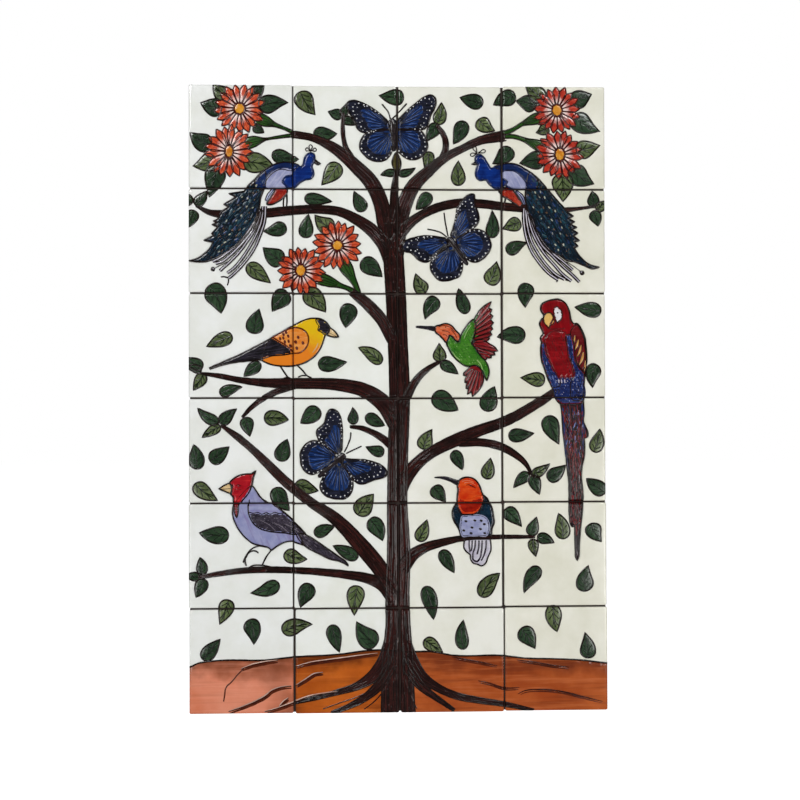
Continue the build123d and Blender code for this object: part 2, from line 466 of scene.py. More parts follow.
def hang_skirt(bm, kind, kept, shown, area):
    """Adds a strip down the tile's side below every edge that was cut there."""
    left, right, bottom, top = area[:4]
    below = {}
    for edge in bm.edges:
        if not edge.is_boundary:
            continue
        a, b = edge.verts
        on_side = any(
            abs(a.co[axis] - place) < 1e-3 and abs(b.co[axis] - place) < 1e-3
            for axis, place in ((0, left), (0, right), (1, bottom), (1, top))
        )
        if not on_side:
            continue
        face = edge.link_faces[0]
        loop = next(k for k in face.loops if k.edge == edge)
        first, second = loop.vert, loop.link_loop_next.vert
        for vert in (first, second):
            if vert.index not in below:
                below[vert.index] = len(kept)
                low = SKIRT * (1 + SKIRT_WANDER * noise.noise(vert.co / SKIRT_LENGTH))
                x, z, height, *rest = kept[vert.index][:8]
                kept.append((x, z, height - TUCK, *rest, low))
        shown.append(([second.index, first.index, below[first.index], below[second.index]], face[kind]))


def grid_places(low, high):
    """Places for the skin's grid lines across a tile: close at its rounded edges, wider between."""
    edge = [0.0, 0.5, 1.0, 1.5, 2.0, ROUND]
    start = low + ROUND
    span = high - low - 2 * ROUND
    middle = [start + span * k / GRID for k in range(1, GRID)]
    return [low + e for e in edge] + middle + [high - e for e in reversed(edge)]


# Rings of the skin down a tile's side: share of the way down, height and rim.
SIDE_RINGS = ((0.35, 0.0, 0.0), (0.7, 0.0, 0.0), (1.0, -TUCK, 1.0), (1.04, -LIP, 1.0))


def skin_mesh(area):
    """The white glaze of one tile: its face, its rounded edge and a wavy-edged band down its sides."""
    left, right, bottom, top = area[:4]
    xs = grid_places(left, right)
    n = len(xs)
    points = []
    faces = []
    for z in grid_places(bottom, top):
        for x in xs:
            sx, sz = square_corner(x, z, area)
            points.append((sx, sz, 0.0, 0.0, 0.5, sx, sz, MID_TONE, 0.0))
    for j in range(n - 1):
        for i in range(n - 1):
            a = j * n + i
            faces.append(((a, a + 1, a + n + 1, a + n), 0))
    border = list(range(n)) + [k * n + n - 1 for k in range(1, n)]
    border += [(n - 1) * n + i for i in range(n - 2, -1, -1)] + [k * n for k in range(n - 2, 0, -1)]
    above = border
    for share, height, rim in SIDE_RINGS:
        ring = []
        for k in border:
            x, z = points[k][:2]
            uneven = noise.noise(Vector((x / WRAP_LENGTH, z / WRAP_LENGTH, area[5] + 9)))
            reach = WRAP * (1 + WRAP_WANDER * uneven)
            ring.append(len(points))
            points.append((x, z, height, rim, 0.5, x, z, MID_TONE, reach * share))
        for k in range(len(border)):
            m = (k + 1) % len(border)
            faces.append(((above[k], ring[k], ring[m], above[m]), 0))
        above = ring
    return points, faces


def square_corner(x, z, area):
    """Draws the skin's square grid in to the round corners of a tile."""
    ex, ez = overhang(x, z, area)
    if not ex or not ez:
        return x, z
    share = max(abs(ex), abs(ez)) / hypot(ex, ez)
    return x - ex + ex * share, z - ez + ez * share


def tile_area(row, column):
    """The glazed outline of a tile in millimetres, its face's y in metres and its own seed."""
    low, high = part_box(f"tile_r{row + 1}_c{column + 1}")
    plain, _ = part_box("tile_r1_c1")
    return (low.x / MM - SKIN, high.x / MM + SKIN, low.z / MM - SKIN, high.z / MM + SKIN,
            plain.y - SKIN_FACE * MM, 10.0 * row + 2.5 * column)


def gather(area):
    """The artwork on one tile: what lies whole on its face, and what its edges cut."""
    left, right, bottom, top = area[:4]
    whole = ([], [])
    cut = ([], [])
    for points, faces, glaze, box in ART:
        if box[1] < left or box[0] > right or box[3] < bottom or box[2] > top:
            continue
        clear = box[0] > left + ROUND and box[1] < right - ROUND
        clear = clear and box[2] > bottom + ROUND and box[3] < top - ROUND
        kept, shown = whole if clear else cut
        first = len(kept)
        kept.extend(points)
        shown.extend((tuple(first + k for k in face), GLAZES.index(glaze)) for face in faces)
    return whole, cut


def make_tile(row, column):
    """One glazed tile: white skin and artwork, as one piece over its clay body."""
    area = tile_area(row, column)
    points, faces = skin_mesh(area)
    whole, cut = gather(area)
    parts = [([(*p, 0.0) for p in whole[0]], whole[1])]
    if cut[1]:
        parts.append(trim(*cut, area))
    for kept, shown in parts:
        first = len(points)
        points.extend(kept)
        faces.extend((tuple(first + k for k in face), glaze) for face, glaze in shown)
    white = skin_glaze(column)
    used = sorted({glaze for _, glaze in faces})
    mesh = bpy.data.meshes.new(f"glaze_r{row + 1}_c{column + 1}")
    mesh.from_pydata([wrap(p[0], p[1], p[2], p[8], area) for p in points], [], [f for f, _ in faces])
    for k in used:
        mesh.materials.append(white if k == 0 else MATERIALS[GLAZES[k]])
    place = {k: i for i, k in enumerate(used)}
    mesh.polygons.foreach_set("material_index", [place[k] for _, k in faces])
    mesh.polygons.foreach_set("use_smooth", [True] * len(faces))
    for name, index in (("rim", 3), ("blend", 4), ("tone", 7)):
        layer = mesh.attributes.new(name, "FLOAT", "POINT")
        layer.data.foreach_set("value", [p[index] for p in points])
    layer = mesh.attributes.new("flow", "FLOAT_VECTOR", "POINT")
    values = []
    for p in points:
        values += [p[5] * MM, p[6] * MM, p[7]]
    layer.data.foreach_set("vector", values)
    mesh.validate()
    piece = bpy.data.objects.new(mesh.name, mesh)
    bpy.context.scene.collection.objects.link(piece)
    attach(piece, "root")


# ---- the tree: u, v and half width in tile pitches, as in the CAD relief --------------------
TRUNK = [
    (1.965, 1.30, 0.085), (1.955, 1.60, 0.090), (1.975, 2.00, 0.090), (1.995, 2.50, 0.088),
    (2.010, 3.00, 0.092), (1.995, 3.50, 0.090), (1.985, 4.00, 0.090), (1.998, 4.50, 0.105),
    (1.985, 4.90, 0.108), (1.990, 5.20, 0.115), (1.985, 5.45, 0.140), (1.985, 5.70, 0.150),
    (1.990, 6.00, 0.160),
]

CROWN = [
    [(0.99, 0.48, 0.030), (1.20, 0.52, 0.030), (1.40, 0.62, 0.045), (1.60, 0.79, 0.058),
     (1.75, 0.95, 0.065), (1.83, 1.12, 0.066), (1.88, 1.35, 0.070), (1.94, 1.60, 0.070)],
    [(3.00, 0.49, 0.048), (2.80, 0.53, 0.035), (2.60, 0.62, 0.030), (2.45, 0.70, 0.036),
     (2.30, 0.825, 0.046), (2.15, 0.97, 0.060), (2.065, 1.14, 0.066), (2.01, 1.35, 0.070),
     (1.98, 1.60, 0.070)],
    [(1.985, 0.85, 0.016), (1.968, 1.00, 0.030), (1.970, 1.20, 0.045), (1.970, 1.45, 0.050)],
    [(1.48, 0.28, 0.008), (1.472, 0.40, 0.013), (1.478, 0.50, 0.014), (1.50, 0.60, 0.018),
     (1.57, 0.72, 0.022)],
    [(2.37, 0.39, 0.010), (2.42, 0.45, 0.018), (2.455, 0.53, 0.021), (2.455, 0.62, 0.024),
     (2.42, 0.72, 0.030)],
    [(0.08, 1.17, 0.006), (0.20, 1.23, 0.020), (0.32, 1.25, 0.034), (0.55, 1.245, 0.036),
     (0.75, 1.235, 0.038), (1.00, 1.210, 0.038), (1.25, 1.20, 0.035), (1.45, 1.225, 0.038),
     (1.60, 1.295, 0.045), (1.75, 1.40, 0.055), (1.86, 1.53, 0.060), (1.93, 1.70, 0.060)],
    [(3.90, 1.162, 0.006), (3.75, 1.183, 0.010), (3.60, 1.198, 0.018), (3.30, 1.190, 0.030),
     (3.00, 1.165, 0.034), (2.80, 1.142, 0.036), (2.60, 1.135, 0.036), (2.40, 1.172, 0.036),
     (2.20, 1.265, 0.036), (2.08, 1.36, 0.045), (1.98, 1.50, 0.050)],
]

MIDDLE = [
    [(1.57, 2.00, 0.034), (1.65, 2.06, 0.044), (1.75, 2.15, 0.050), (1.85, 2.27, 0.050),
     (1.93, 2.42, 0.050)],
    [(0.12, 2.765, 0.006), (0.30, 2.79, 0.017), (0.50, 2.83, 0.022), (0.70, 2.853, 0.033),
     (0.90, 2.86, 0.042), (1.10, 2.862, 0.045), (1.30, 2.865, 0.047), (1.50, 2.885, 0.055),
     (1.65, 2.92, 0.060), (1.78, 2.99, 0.070), (1.88, 3.08, 0.075), (1.96, 3.22, 0.075)],
    [(0.515, 3.18, 0.007), (0.60, 3.09, 0.015), (0.72, 3.00, 0.020), (0.85, 2.935, 0.024),
     (1.00, 2.89, 0.024)],
    [(1.54, 3.275, 0.008), (1.65, 3.29, 0.017), (1.75, 3.33, 0.022), (1.85, 3.39, 0.028),
     (1.93, 3.46, 0.030)],
    [(2.40, 2.655, 0.008), (2.30, 2.71, 0.018), (2.22, 2.775, 0.025), (2.15, 2.86, 0.030),
     (2.10, 2.95, 0.035), (2.05, 3.05, 0.036)],
    [(3.52, 2.93, 0.030), (3.40, 3.015, 0.036), (3.25, 3.105, 0.040), (3.10, 3.19, 0.042),
     (2.95, 3.255, 0.045), (2.80, 3.305, 0.048), (2.60, 3.385, 0.055), (2.40, 3.475, 0.050),
     (2.25, 3.565, 0.050), (2.15, 3.655, 0.055), (2.06, 3.78, 0.060), (2.00, 3.92, 0.060)],
    [(3.275, 3.74, 0.006), (3.22, 3.64, 0.016), (3.10, 3.535, 0.028), (2.95, 3.46, 0.032),
     (2.80, 3.43, 0.032), (2.60, 3.43, 0.034)],
]

LOW = [
    [(0.315, 3.26, 0.008), (0.45, 3.355, 0.025), (0.60, 3.48, 0.028), (0.75, 3.625, 0.036),
     (0.90, 3.775, 0.040), (1.05, 3.905, 0.040), (1.20, 4.02, 0.040), (1.35, 4.115, 0.050),
     (1.50, 4.25, 0.060), (1.62, 4.385, 0.068), (1.72, 4.50, 0.072), (1.80, 4.60, 0.070),
     (1.88, 4.72, 0.065), (1.95, 4.85, 0.060)],
    [(0.105, 4.698, 0.012), (0.30, 4.665, 0.018), (0.50, 4.64, 0.022), (0.75, 4.63, 0.024),
     (1.00, 4.638, 0.024), (1.25, 4.655, 0.028), (1.50, 4.683, 0.034), (1.70, 4.72, 0.042),
     (1.84, 4.78, 0.055), (1.94, 4.90, 0.060)],
    [(3.30, 4.332, 0.008), (3.10, 4.332, 0.013), (2.90, 4.333, 0.016), (2.60, 4.345, 0.022),
     (2.40, 4.385, 0.032), (2.25, 4.43, 0.040), (2.13, 4.50, 0.052), (2.04, 4.62, 0.060)],
]

ROOTS = [
    [(1.90, 5.36, 0.050), (1.86, 5.50, 0.060), (1.76, 5.64, 0.055), (1.60, 5.74, 0.034),
     (1.40, 5.80, 0.022), (1.20, 5.85, 0.016), (1.00, 5.895, 0.010)],
    [(1.92, 5.55, 0.050), (1.82, 5.72, 0.045), (1.66, 5.86, 0.030), (1.50, 5.94, 0.020),
     (1.36, 5.99, 0.012)],
    [(2.07, 5.36, 0.050), (2.12, 5.50, 0.055), (2.22, 5.66, 0.048), (2.36, 5.76, 0.034),
     (2.54, 5.84, 0.030), (2.75, 5.885, 0.026), (3.00, 5.925, 0.020), (3.28, 5.985, 0.010)],
    [(2.10, 5.60, 0.045), (2.20, 5.74, 0.036), (2.34, 5.85, 0.024), (2.52, 5.975, 0.012)],
]

BARK_SPILL = 0.6  # the bark glaze runs this far past the clay relief, in millimetres
RIDGE_GAP = 3.6  # spacing of the ridges along a limb
ROOT_GAP = 6.5  # and along a root
RIDGE_SPREAD = 0.82  # the ridges keep within this share of a limb's half width
RIDGE_RUN = (18, 60)  # least and most points along a ridge
RIDGE_BREAK = (1, 7)  # and between one ridge and the next
STREAK_HIGHLIGHT_SHARE = 0.4  # share of the ridges in warm brown, the bark's reddish streaks and partly painted highlight


def beside(line, share, margin=0.0):
    """A line that runs beside another of x, z and half width, at a share of its half width."""
    moved = []
    for i, (x, z, half) in enumerate(line):
        x0, z0 = line[max(i - 1, 0)][:2]
        x1, z1 = line[min(i + 1, len(line) - 1)][:2]
        run = max(hypot(x1 - x0, z1 - z0), TINY)
        away = (half - margin) * share
        moved.append((x - (z1 - z0) / run * away, z + (x1 - x0) / run * away))
    return moved


def band(route, glaze, top, half=LINE_HALF, spill=0.0, across=9, power=2.6):
    """A tapering band with a raised outline down both its sides; returns its middle line."""
    line = curve([(*at(u, v), w * PITCH + spill) for u, v, w in route])
    if spill:
        line = lengthen(line)
    ribbon(round_ends(line), glaze, top, across, power, tone=dice.random())
    for side in (-1, 1):
        stroke(beside(line, side, 0.5), half, "line", top + LINE, placed=True)
    return line


def ridges(line, gap):
    """Broken ridges that run along a limb, some dark and some in warm brown, the warm ones partly painted
    highlight.
    """
    widest = max(p[2] for p in line)
    count = int(2 * widest / gap)
    for k in range(count):
        share = (2 * (k + 0.5) / count - 1) * RIDGE_SPREAD
        first = int(len(line) * dice.uniform(0.0, 0.16))
        while first < len(line) - 8:
            last = min(len(line) - 1, first + int(dice.uniform(*RIDGE_RUN)))
            part = [p for p in line[first:last] if p[2] * (1 - abs(share)) > 0.9]
            if len(part) > 6:
                glaze, height = ("bark_streak_and_highlight", 0.25) if dice.random() < STREAK_HIGHLIGHT_SHARE else ("line", 0.45)
                drift = dice.uniform(-0.12, 0.12)
                half = dice.uniform(0.5, 0.85)
                mark(beside(part, share + drift), half, glaze, BARK + height, dice.random(), True)
            first = last + int(dice.uniform(*RIDGE_BREAK))


def draw_tree():
    """The trunk, limbs, twigs and roots."""
    for route in CROWN + MIDDLE + LOW + ROOTS + [TRUNK]:
        line = band(route, "bark", BARK, half=1.2, spill=BARK_SPILL, across=11, power=6.0)
        ridges(line, ROOT_GAP if route in ROOTS else RIDGE_GAP)
    for points in ROOT_LINES:
        route = [(u, v, 0.011 * (1 - 0.5 * k / len(points))) for k, (u, v) in enumerate(points)]
        taper(route, "bark", BARK, 2.6, dice.random())
        # a warm brown line along each root line, partly painted highlight
        mark(points[:-1], 0.55, "bark_streak_and_highlight", BARK + 0.16, dice.random())


# ---- the ground -------------------------------------------------------------------------------
GROUND_TOP = [
    (-0.05, 5.555), (0.0, 5.55), (0.1, 5.51), (0.25, 5.49), (0.75, 5.485), (1.0, 5.46), (1.4, 5.44),
    (1.8, 5.40), (2.1, 5.42), (2.3, 5.42), (2.5, 5.455), (3.0, 5.465), (3.2, 5.49), (3.5, 5.50),
    (3.7, 5.51), (4.0, 5.545), (4.05, 5.55),
]

STRATA = [
    [(0.38, 5.97), (0.50, 5.93), (0.60, 5.89), (0.72, 5.83), (0.80, 5.77), (0.90, 5.74), (0.98, 5.735)],
    [(0.72, 5.975), (0.85, 5.94), (1.0, 5.885), (1.15, 5.83), (1.30, 5.805), (1.42, 5.79)],
    [(1.02, 5.73), (1.10, 5.68), (1.20, 5.62), (1.28, 5.61)],
    [(0.50, 5.57), (0.60, 5.53), (0.72, 5.505), (0.85, 5.49)],
    [(1.02, 5.55), (1.15, 5.515), (1.32, 5.49), (1.50, 5.468), (1.68, 5.445), (1.80, 5.432)],
    [(0.86, 5.93), (0.90, 5.88), (0.95, 5.845)],
    [(2.50, 5.47), (2.65, 5.50), (2.80, 5.53), (2.94, 5.56)],
    [(3.12, 5.505), (3.30, 5.53), (3.46, 5.56), (3.63, 5.58)],
    [(2.75, 5.70), (2.86, 5.725), (3.00, 5.77), (3.15, 5.77)],
    [(3.13, 5.83), (3.20, 5.80), (3.32, 5.79), (3.55, 5.81), (3.75, 5.86), (3.95, 5.91)],
]

CRACK = [(0.53, 5.56), (0.47, 5.62), (0.41, 5.69), (0.36, 5.74), (0.345, 5.82), (0.335, 5.88)]

ROOT_LINES = [
    [(1.90, 5.58), (1.79, 5.73), (1.63, 5.83), (1.46, 5.89), (1.27, 5.955)],
    [(1.93, 5.64), (1.85, 5.79), (1.76, 5.89), (1.66, 5.965)],
    [(1.88, 5.56), (1.80, 5.63), (1.70, 5.69), (1.58, 5.735), (1.42, 5.78)],
    [(2.07, 5.60), (2.15, 5.73), (2.26, 5.82), (2.37, 5.89), (2.46, 5.96)],
    [(2.10, 5.52), (2.19, 5.64), (2.33, 5.75), (2.52, 5.82), (2.74, 5.87)],
    [(2.05, 5.66), (2.09, 5.78), (2.13, 5.88), (2.17, 5.965)],
]

GROUND_FOOT = 6.03  # the ground's glaze runs down to here, a little past the bottom edge
JOINT_SHIFT = 0.0065  # the joints of the bottom row lie this far right of the grid
GROUND_GLAZES = ("earth_pale", "earth_ochre", "earth_red", "earth_red")


def depth(x, z):
    """The ground's flow: how deep a place lies below the ground's top edge, then its x and z."""
    u = x / PITCH + COLUMNS / 2
    for (u0, v0), (u1, v1) in zip(GROUND_TOP, GROUND_TOP[1:]):
        if u0 <= u <= u1:
            v = v0 + (v1 - v0) * (u - u0) / (u1 - u0)
            return ROWS / 2 - z / PITCH - v, x, z
    return 0.5, x, z


def layer(points, half, glaze, top):
    """A raised line on the ground that swells from thin ends to its full weight."""
    path = curve([at(*p) for p in points])
    last = len(path) - 1
    line = [(x, z, half * (0.3 + 0.7 * sin(pi * k / last) ** 0.6)) for k, (x, z) in enumerate(path)]
    ribbon(shaky(round_ends(line)), glaze, top, power=3.0, tone=dice.random(), base=top - MARK_DEPTH)


def draw_ground():
    """The bare earth under the tree, one pool of glaze to a tile, with its layers as raised lines, a band of
    painted shade under each layer and a painted highlight along the top of the bold ones.
    """
    top_edge = curve([at(u, v) for u, v in GROUND_TOP])
    base = at(0, GROUND_FOOT)[1]
    for column in range(COLUMNS):
        left = at(column + JOINT_SHIFT, 0)[0]
        right = at(column + 1 + JOINT_SHIFT, 0)[0]
        upper = [p for p in top_edge if left < p[0] < right]
        lower = curve([(right, base), (left, base)])
        first_side = curve([upper[-1], (right, base)])[1:-1]
        last_side = curve([(left, base), upper[0]])[1:-1]
        border = (upper + first_side + lower + last_side)[::-1]
        pool(border, GROUND_GLAZES[column], GROUND, crown=0.2, spacing=2.4, flow=depth)
    stroke(top_edge, LINE_HALF, "line", GROUND + LINE, placed=True)
    # the crack in the earth, drawn in the same dark glaze as the painted shade
    mark(CRACK, 1.4, "earth_crack_and_shade", GROUND + 0.12)
    for points in STRATA:
        bold = points[0][0] < 2
        # painted shade: a wide dark band just under each layer, as if its ridge shaded the glaze
        low = [(u + 0.005, v + 0.018) for u, v in points]
        layer(low, 2.6 if bold else 1.5, "earth_crack_and_shade", GROUND + 0.12)
        layer(points, 1.7 if bold else 1.2, "earth_line", GROUND + 0.7)
        if bold:
            # painted highlight: a near-white line along the upper edge of each bold layer
            high = [(u - 0.002, v - 0.006) for u, v in points]
            layer(high, 0.8, "earth_highlight", GROUND + 0.85)


# ---- the leaves: u and v of the stalk end and of the tip, and the half width ------------------
DARK_LEAVES = [
    (0.822, 0.661, 1.065, 0.720, 0.066), (1.214, 0.466, 1.431, 0.474, 0.065),
    (2.070, 0.120, 1.836, 0.106, 0.075), (2.813, 0.179, 2.598, 0.120, 0.070),
    (2.631, 0.349, 2.532, 0.567, 0.070), (3.130, 0.100, 2.920, 0.190, 0.075),
    (3.086, 0.605, 2.909, 0.756, 0.075), (1.480, 0.300, 1.350, 0.262, 0.050),
    (1.475, 0.300, 1.530, 0.180, 0.038), (1.500, 0.330, 1.607, 0.392, 0.042),
    (2.385, 0.380, 2.270, 0.545, 0.060), (1.990, 0.848, 1.850, 0.868, 0.035),
    (2.010, 0.860, 2.166, 0.800, 0.035),
    (0.085, 1.158, 0.195, 1.030, 0.050), (0.077, 1.216, 0.026, 1.371, 0.060),
    (0.943, 1.358, 0.733, 1.409, 0.065), (0.214, 1.925, 0.323, 2.188, 0.100),
    (1.126, 1.091, 1.382, 1.120, 0.055), (1.689, 1.207, 1.594, 1.022, 0.060),
    (1.129, 1.464, 1.159, 1.243, 0.065), (1.667, 1.686, 1.861, 1.838, 0.080),
    (2.320, 1.033, 2.187, 1.182, 0.060), (2.906, 1.449, 2.915, 1.190, 0.060),
    (2.667, 2.170, 2.591, 1.938, 0.060), (3.060, 1.598, 3.249, 1.503, 0.060),
    (3.268, 1.899, 3.235, 2.121, 0.075), (3.886, 1.155, 3.882, 1.010, 0.055),
    (3.890, 1.200, 3.937, 1.341, 0.055), (0.050, 1.150, -0.040, 1.040, 0.050),
    (0.633, 2.380, 0.684, 2.151, 0.080), (0.150, 2.700, -0.040, 2.610, 0.055),
    (0.131, 2.745, -0.010, 2.700, 0.035), (0.692, 2.667, 0.541, 2.791, 0.055),
    (0.316, 2.958, 0.522, 2.892, 0.050), (1.568, 2.095, 1.513, 2.313, 0.080),
    (1.253, 2.656, 1.520, 2.642, 0.070), (2.387, 2.033, 2.269, 2.229, 0.070),
    (2.420, 2.650, 2.582, 2.753, 0.050), (2.357, 2.956, 2.588, 3.109, 0.090),
    (2.861, 3.117, 2.940, 2.886, 0.080), (3.228, 2.401, 2.965, 2.406, 0.080),
    (3.963, 2.158, 3.714, 2.121, 0.070), (3.915, 2.673, 3.881, 2.893, 0.070),
    (0.294, 3.221, 0.097, 3.086, 0.050), (0.316, 3.235, 0.466, 3.093, 0.055),
    (0.550, 3.177, 0.590, 3.352, 0.060), (0.879, 3.588, 0.945, 3.385, 0.070),
    (0.089, 3.661, 0.060, 3.432, 0.070), (0.214, 3.585, 0.393, 3.454, 0.070),
    (0.835, 3.843, 0.963, 4.060, 0.075), (1.243, 3.091, 1.076, 3.231, 0.075),
    (1.561, 3.238, 1.569, 3.083, 0.047), (1.702, 3.157, 1.873, 3.257, 0.055),
    (1.865, 3.511, 1.695, 3.459, 0.050), (2.540, 3.504, 2.628, 3.679, 0.055),
    (2.350, 3.842, 2.467, 3.980, 0.065), (3.074, 3.354, 3.314, 3.332, 0.062),
    (3.447, 3.169, 3.554, 3.435, 0.080), (3.262, 3.716, 3.118, 3.850, 0.050),
    (3.300, 3.740, 3.366, 3.916, 0.055), (3.447, 3.768, 3.617, 3.639, 0.065),
    (3.998, 3.900, 3.820, 3.768, 0.070),
    (0.387, 4.283, 0.114, 4.268, 0.080), (0.136, 4.660, 0.118, 4.502, 0.050),
    (0.110, 4.689, -0.030, 4.690, 0.040), (0.155, 4.707, 0.081, 4.876, 0.060),
    (0.858, 4.747, 0.596, 4.840, 0.065), (1.213, 4.294, 1.395, 4.215, 0.055),
    (1.730, 4.151, 1.854, 4.351, 0.075), (1.614, 4.516, 1.384, 4.398, 0.060),
    (1.176, 4.767, 1.074, 4.975, 0.075), (2.415, 4.448, 2.536, 4.658, 0.060),
    (2.260, 4.791, 2.338, 5.100, 0.070), (3.022, 4.058, 3.174, 4.223, 0.065),
    (3.260, 4.307, 3.319, 4.135, 0.055), (3.326, 4.328, 3.485, 4.380, 0.050),
    (3.844, 4.201, 3.941, 4.372, 0.075), (3.348, 4.620, 3.196, 4.858, 0.065),
    (3.785, 4.843, 3.815, 4.602, 0.080),
    (0.578, 5.089, 0.621, 5.321, 0.075), (0.142, 5.459, 0.303, 5.270, 0.065),
    (1.358, 5.147, 1.432, 5.402, 0.065), (1.781, 5.335, 1.595, 5.114, 0.095),
    (2.617, 5.383, 2.614, 5.111, 0.060), (3.167, 5.195, 3.299, 5.384, 0.080),
    (3.806, 5.477, 3.780, 5.236, 0.072),
]

PALE_LEAVES = [
    (1.082, 0.077, 1.225, 0.294, 0.085), (1.451, 0.764, 1.287, 0.966, 0.080),
    (2.773, 0.334, 2.930, 0.438, 0.070), (2.294, 0.645, 2.258, 0.830, 0.052),
    (2.583, 0.963, 2.579, 0.730, 0.065), (2.375, 0.375, 2.418, 0.172, 0.060),
    (0.582, 1.729, 0.799, 1.903, 0.070), (2.877, 1.894, 2.957, 1.682, 0.075),
    (2.271, 1.978, 2.180, 1.796, 0.065), (3.186, 1.305, 3.019, 1.371, 0.065),
    (3.925, 1.185, 4.000, 1.100, 0.045),
    (0.426, 2.406, 0.187, 2.507, 0.065), (0.160, 2.770, 0.061, 2.921, 0.055),
    (1.846, 2.656, 1.634, 2.505, 0.060), (2.409, 2.631, 2.402, 2.461, 0.060),
    (3.417, 2.827, 3.187, 2.798, 0.065),
    (0.309, 3.257, 0.140, 3.363, 0.045), (0.729, 3.184, 0.956, 3.199, 0.070),
    (0.071, 3.803, 0.283, 3.960, 0.070), (1.028, 3.806, 1.239, 3.876, 0.065),
    (1.621, 4.104, 1.769, 3.909, 0.085), (2.255, 3.481, 2.339, 3.295, 0.070),
    (2.854, 3.764, 2.898, 3.571, 0.060), (3.890, 3.509, 3.950, 3.295, 0.065),
    (3.296, 3.731, 3.466, 3.624, 0.045),
    (0.383, 4.901, 0.299, 5.129, 0.070), (0.928, 4.459, 1.136, 4.523, 0.065),
    (1.614, 4.781, 1.584, 5.059, 0.080), (2.194, 4.351, 2.279, 4.153, 0.060),
    (2.796, 4.888, 2.972, 4.668, 0.075), (3.281, 4.350, 3.311, 4.511, 0.048),
    (3.570, 4.343, 3.530, 4.102, 0.070), (3.478, 4.974, 3.512, 5.225, 0.075),
    (0.896, 5.205, 1.175, 5.136, 0.075), (2.243, 5.292, 2.414, 5.412, 0.060),
]

LEAF_STEPS = 22
LEAF_BEND = 0.09
LEAF_SHARPNESS = (0.95, 1.25)
VEIN_STARTS = (6, 10, 14)  # the steps where side veins leave the midrib
VEIN_REACH = 5  # and how many steps on they end
VEIN_WIDTH = 0.74  # as a share of the leaf's half width there

# How far the drawing on each tile strays from the mural's grid, in thousandths of a pitch.
STRAY = [
    [(-16, 0), (-16, 0), (0, 0), (0, 0)],
    [(-17, 0), (-15, 5), (-13, 15), (-13, 10)],
    [(-10, 3), (-15, 15), (-13, 20), (-17, 12)],
    [(-5, 10), (-7, 8), (-20, 10), (-18, 11)],
    [(-5, 10), (-10, 10), (-10, 12), (0, 10)],
    [(0, 15), (0, 15), (0, 15), (0, 15)],
]


def leaf(u0, v0, u1, v1, half, pale, height=LEAF, strayed=True):
    """A pointed leaf from its stalk end to its tip, with outline, midrib and side veins."""
    if strayed:
        row = min(ROWS - 1, max(0, int((v0 + v1) / 2)))
        column = min(COLUMNS - 1, max(0, int((u0 + u1) / 2)))
        du, dv = STRAY[row][column]
        u0, u1, v0, v1 = u0 + du / 1000, u1 + du / 1000, v0 + dv / 1000, v1 + dv / 1000
    x0, z0 = at(u0, v0)
    x1, z1 = at(u1, v1)
    bend = dice.uniform(-LEAF_BEND, LEAF_BEND)
    sharp = dice.uniform(*LEAF_SHARPNESS)
    fullest = 0.5 / (0.5 + sharp)
    peak = sqrt(fullest) * (1 - fullest) ** sharp
    spine = []
    for k in range(LEAF_STEPS + 1):
        t = 1 - cos(pi / 2 * k / LEAF_STEPS)
        wide = sqrt(t) * (1 - t) ** sharp / peak
        side = bend * sin(pi * t)
        spine.append((x0 + (x1 - x0) * t - (z1 - z0) * side,
                      z0 + (z1 - z0) * t + (x1 - x0) * side, half * PITCH * wide))
    ribbon(spine, "leaf_pale" if pale else "leaf_dark", height, 9, 3.0, tone=dice.random(), turn=3.0)
    border = beside(spine, 1) + beside(spine, -1)[::-1][1:-1]
    stroke(border, 1.25, "line", height + LINE, closed=True, placed=True)
    vein_leaf(spine, pale, height)


def vein_leaf(spine, pale, height):
    """The midrib and the side veins of a leaf."""
    glaze = "vein" if pale else "vein_dark"
    weight = 1.05 if pale else 0.7
    mark([p[:2] for p in spine[3:-2]], weight, glaze, height + 0.3, placed=True)
    for start in VEIN_STARTS:
        x, z, _ = spine[start]
        x2, z2, wide = spine[start + VEIN_REACH]
        run = max(hypot(x2 - x, z2 - z), TINY)
        for side in (-1, 1):
            reach = side * wide * VEIN_WIDTH
            end = (x2 - (z2 - z) / run * reach, z2 + (x2 - x) / run * reach)
            bow = ((x + end[0]) / 2 + (x2 - x) * 0.1, (z + end[1]) / 2 + (z2 - z) * 0.1)
            mark(curve([(x, z), bow, end]), weight * 0.85, glaze, height + 0.22, placed=True)


def draw_leaves():
    """The loose leaves and the leaves at the ends of the twigs."""
    for place in DARK_LEAVES:
        leaf(*place, False)
    for place in PALE_LEAVES:
        leaf(*place, True)
    stem = [(1.985, 1.0, 0.026), (1.975, 0.92, 0.020), (1.985, 0.84, 0.014)]
    band(stem, "stem", BARK - 0.1, half=0.7)
    bud = [(1.992, 0.845, 0.012), (1.99, 0.80, 0.036), (1.985, 0.74, 0.044), (1.985, 0.69, 0.030),
           (1.988, 0.645, 0.006)]
    band(bud, "bud", LEAF + 0.1)
    mark([(1.99, 0.83), (1.986, 0.74), (1.987, 0.67)], 0.6, "line", LEAF + 0.5)


# ---- the flowers --------------------------------------------------------------------------------
# centre u and v, radius across and down, and the core's radius across and down
FLOWERS = [
    (0.49, 0.24, 0.240, 0.240, 0.055, 0.055),
    (0.39, 0.65, 0.235, 0.258, 0.040, 0.063),
    (3.53, 0.24, 0.230, 0.230, 0.050, 0.060),
    (3.555, 0.665, 0.235, 0.235, 0.050, 0.065),
    (1.42, 1.545, 0.240, 0.240, 0.052, 0.052),
    (1.07, 1.785, 0.230, 0.230, 0.050, 0.060),
]

PETALS = 17
AROUND_CORE = 40  # corners of a flower's core, and of the ground under its petals

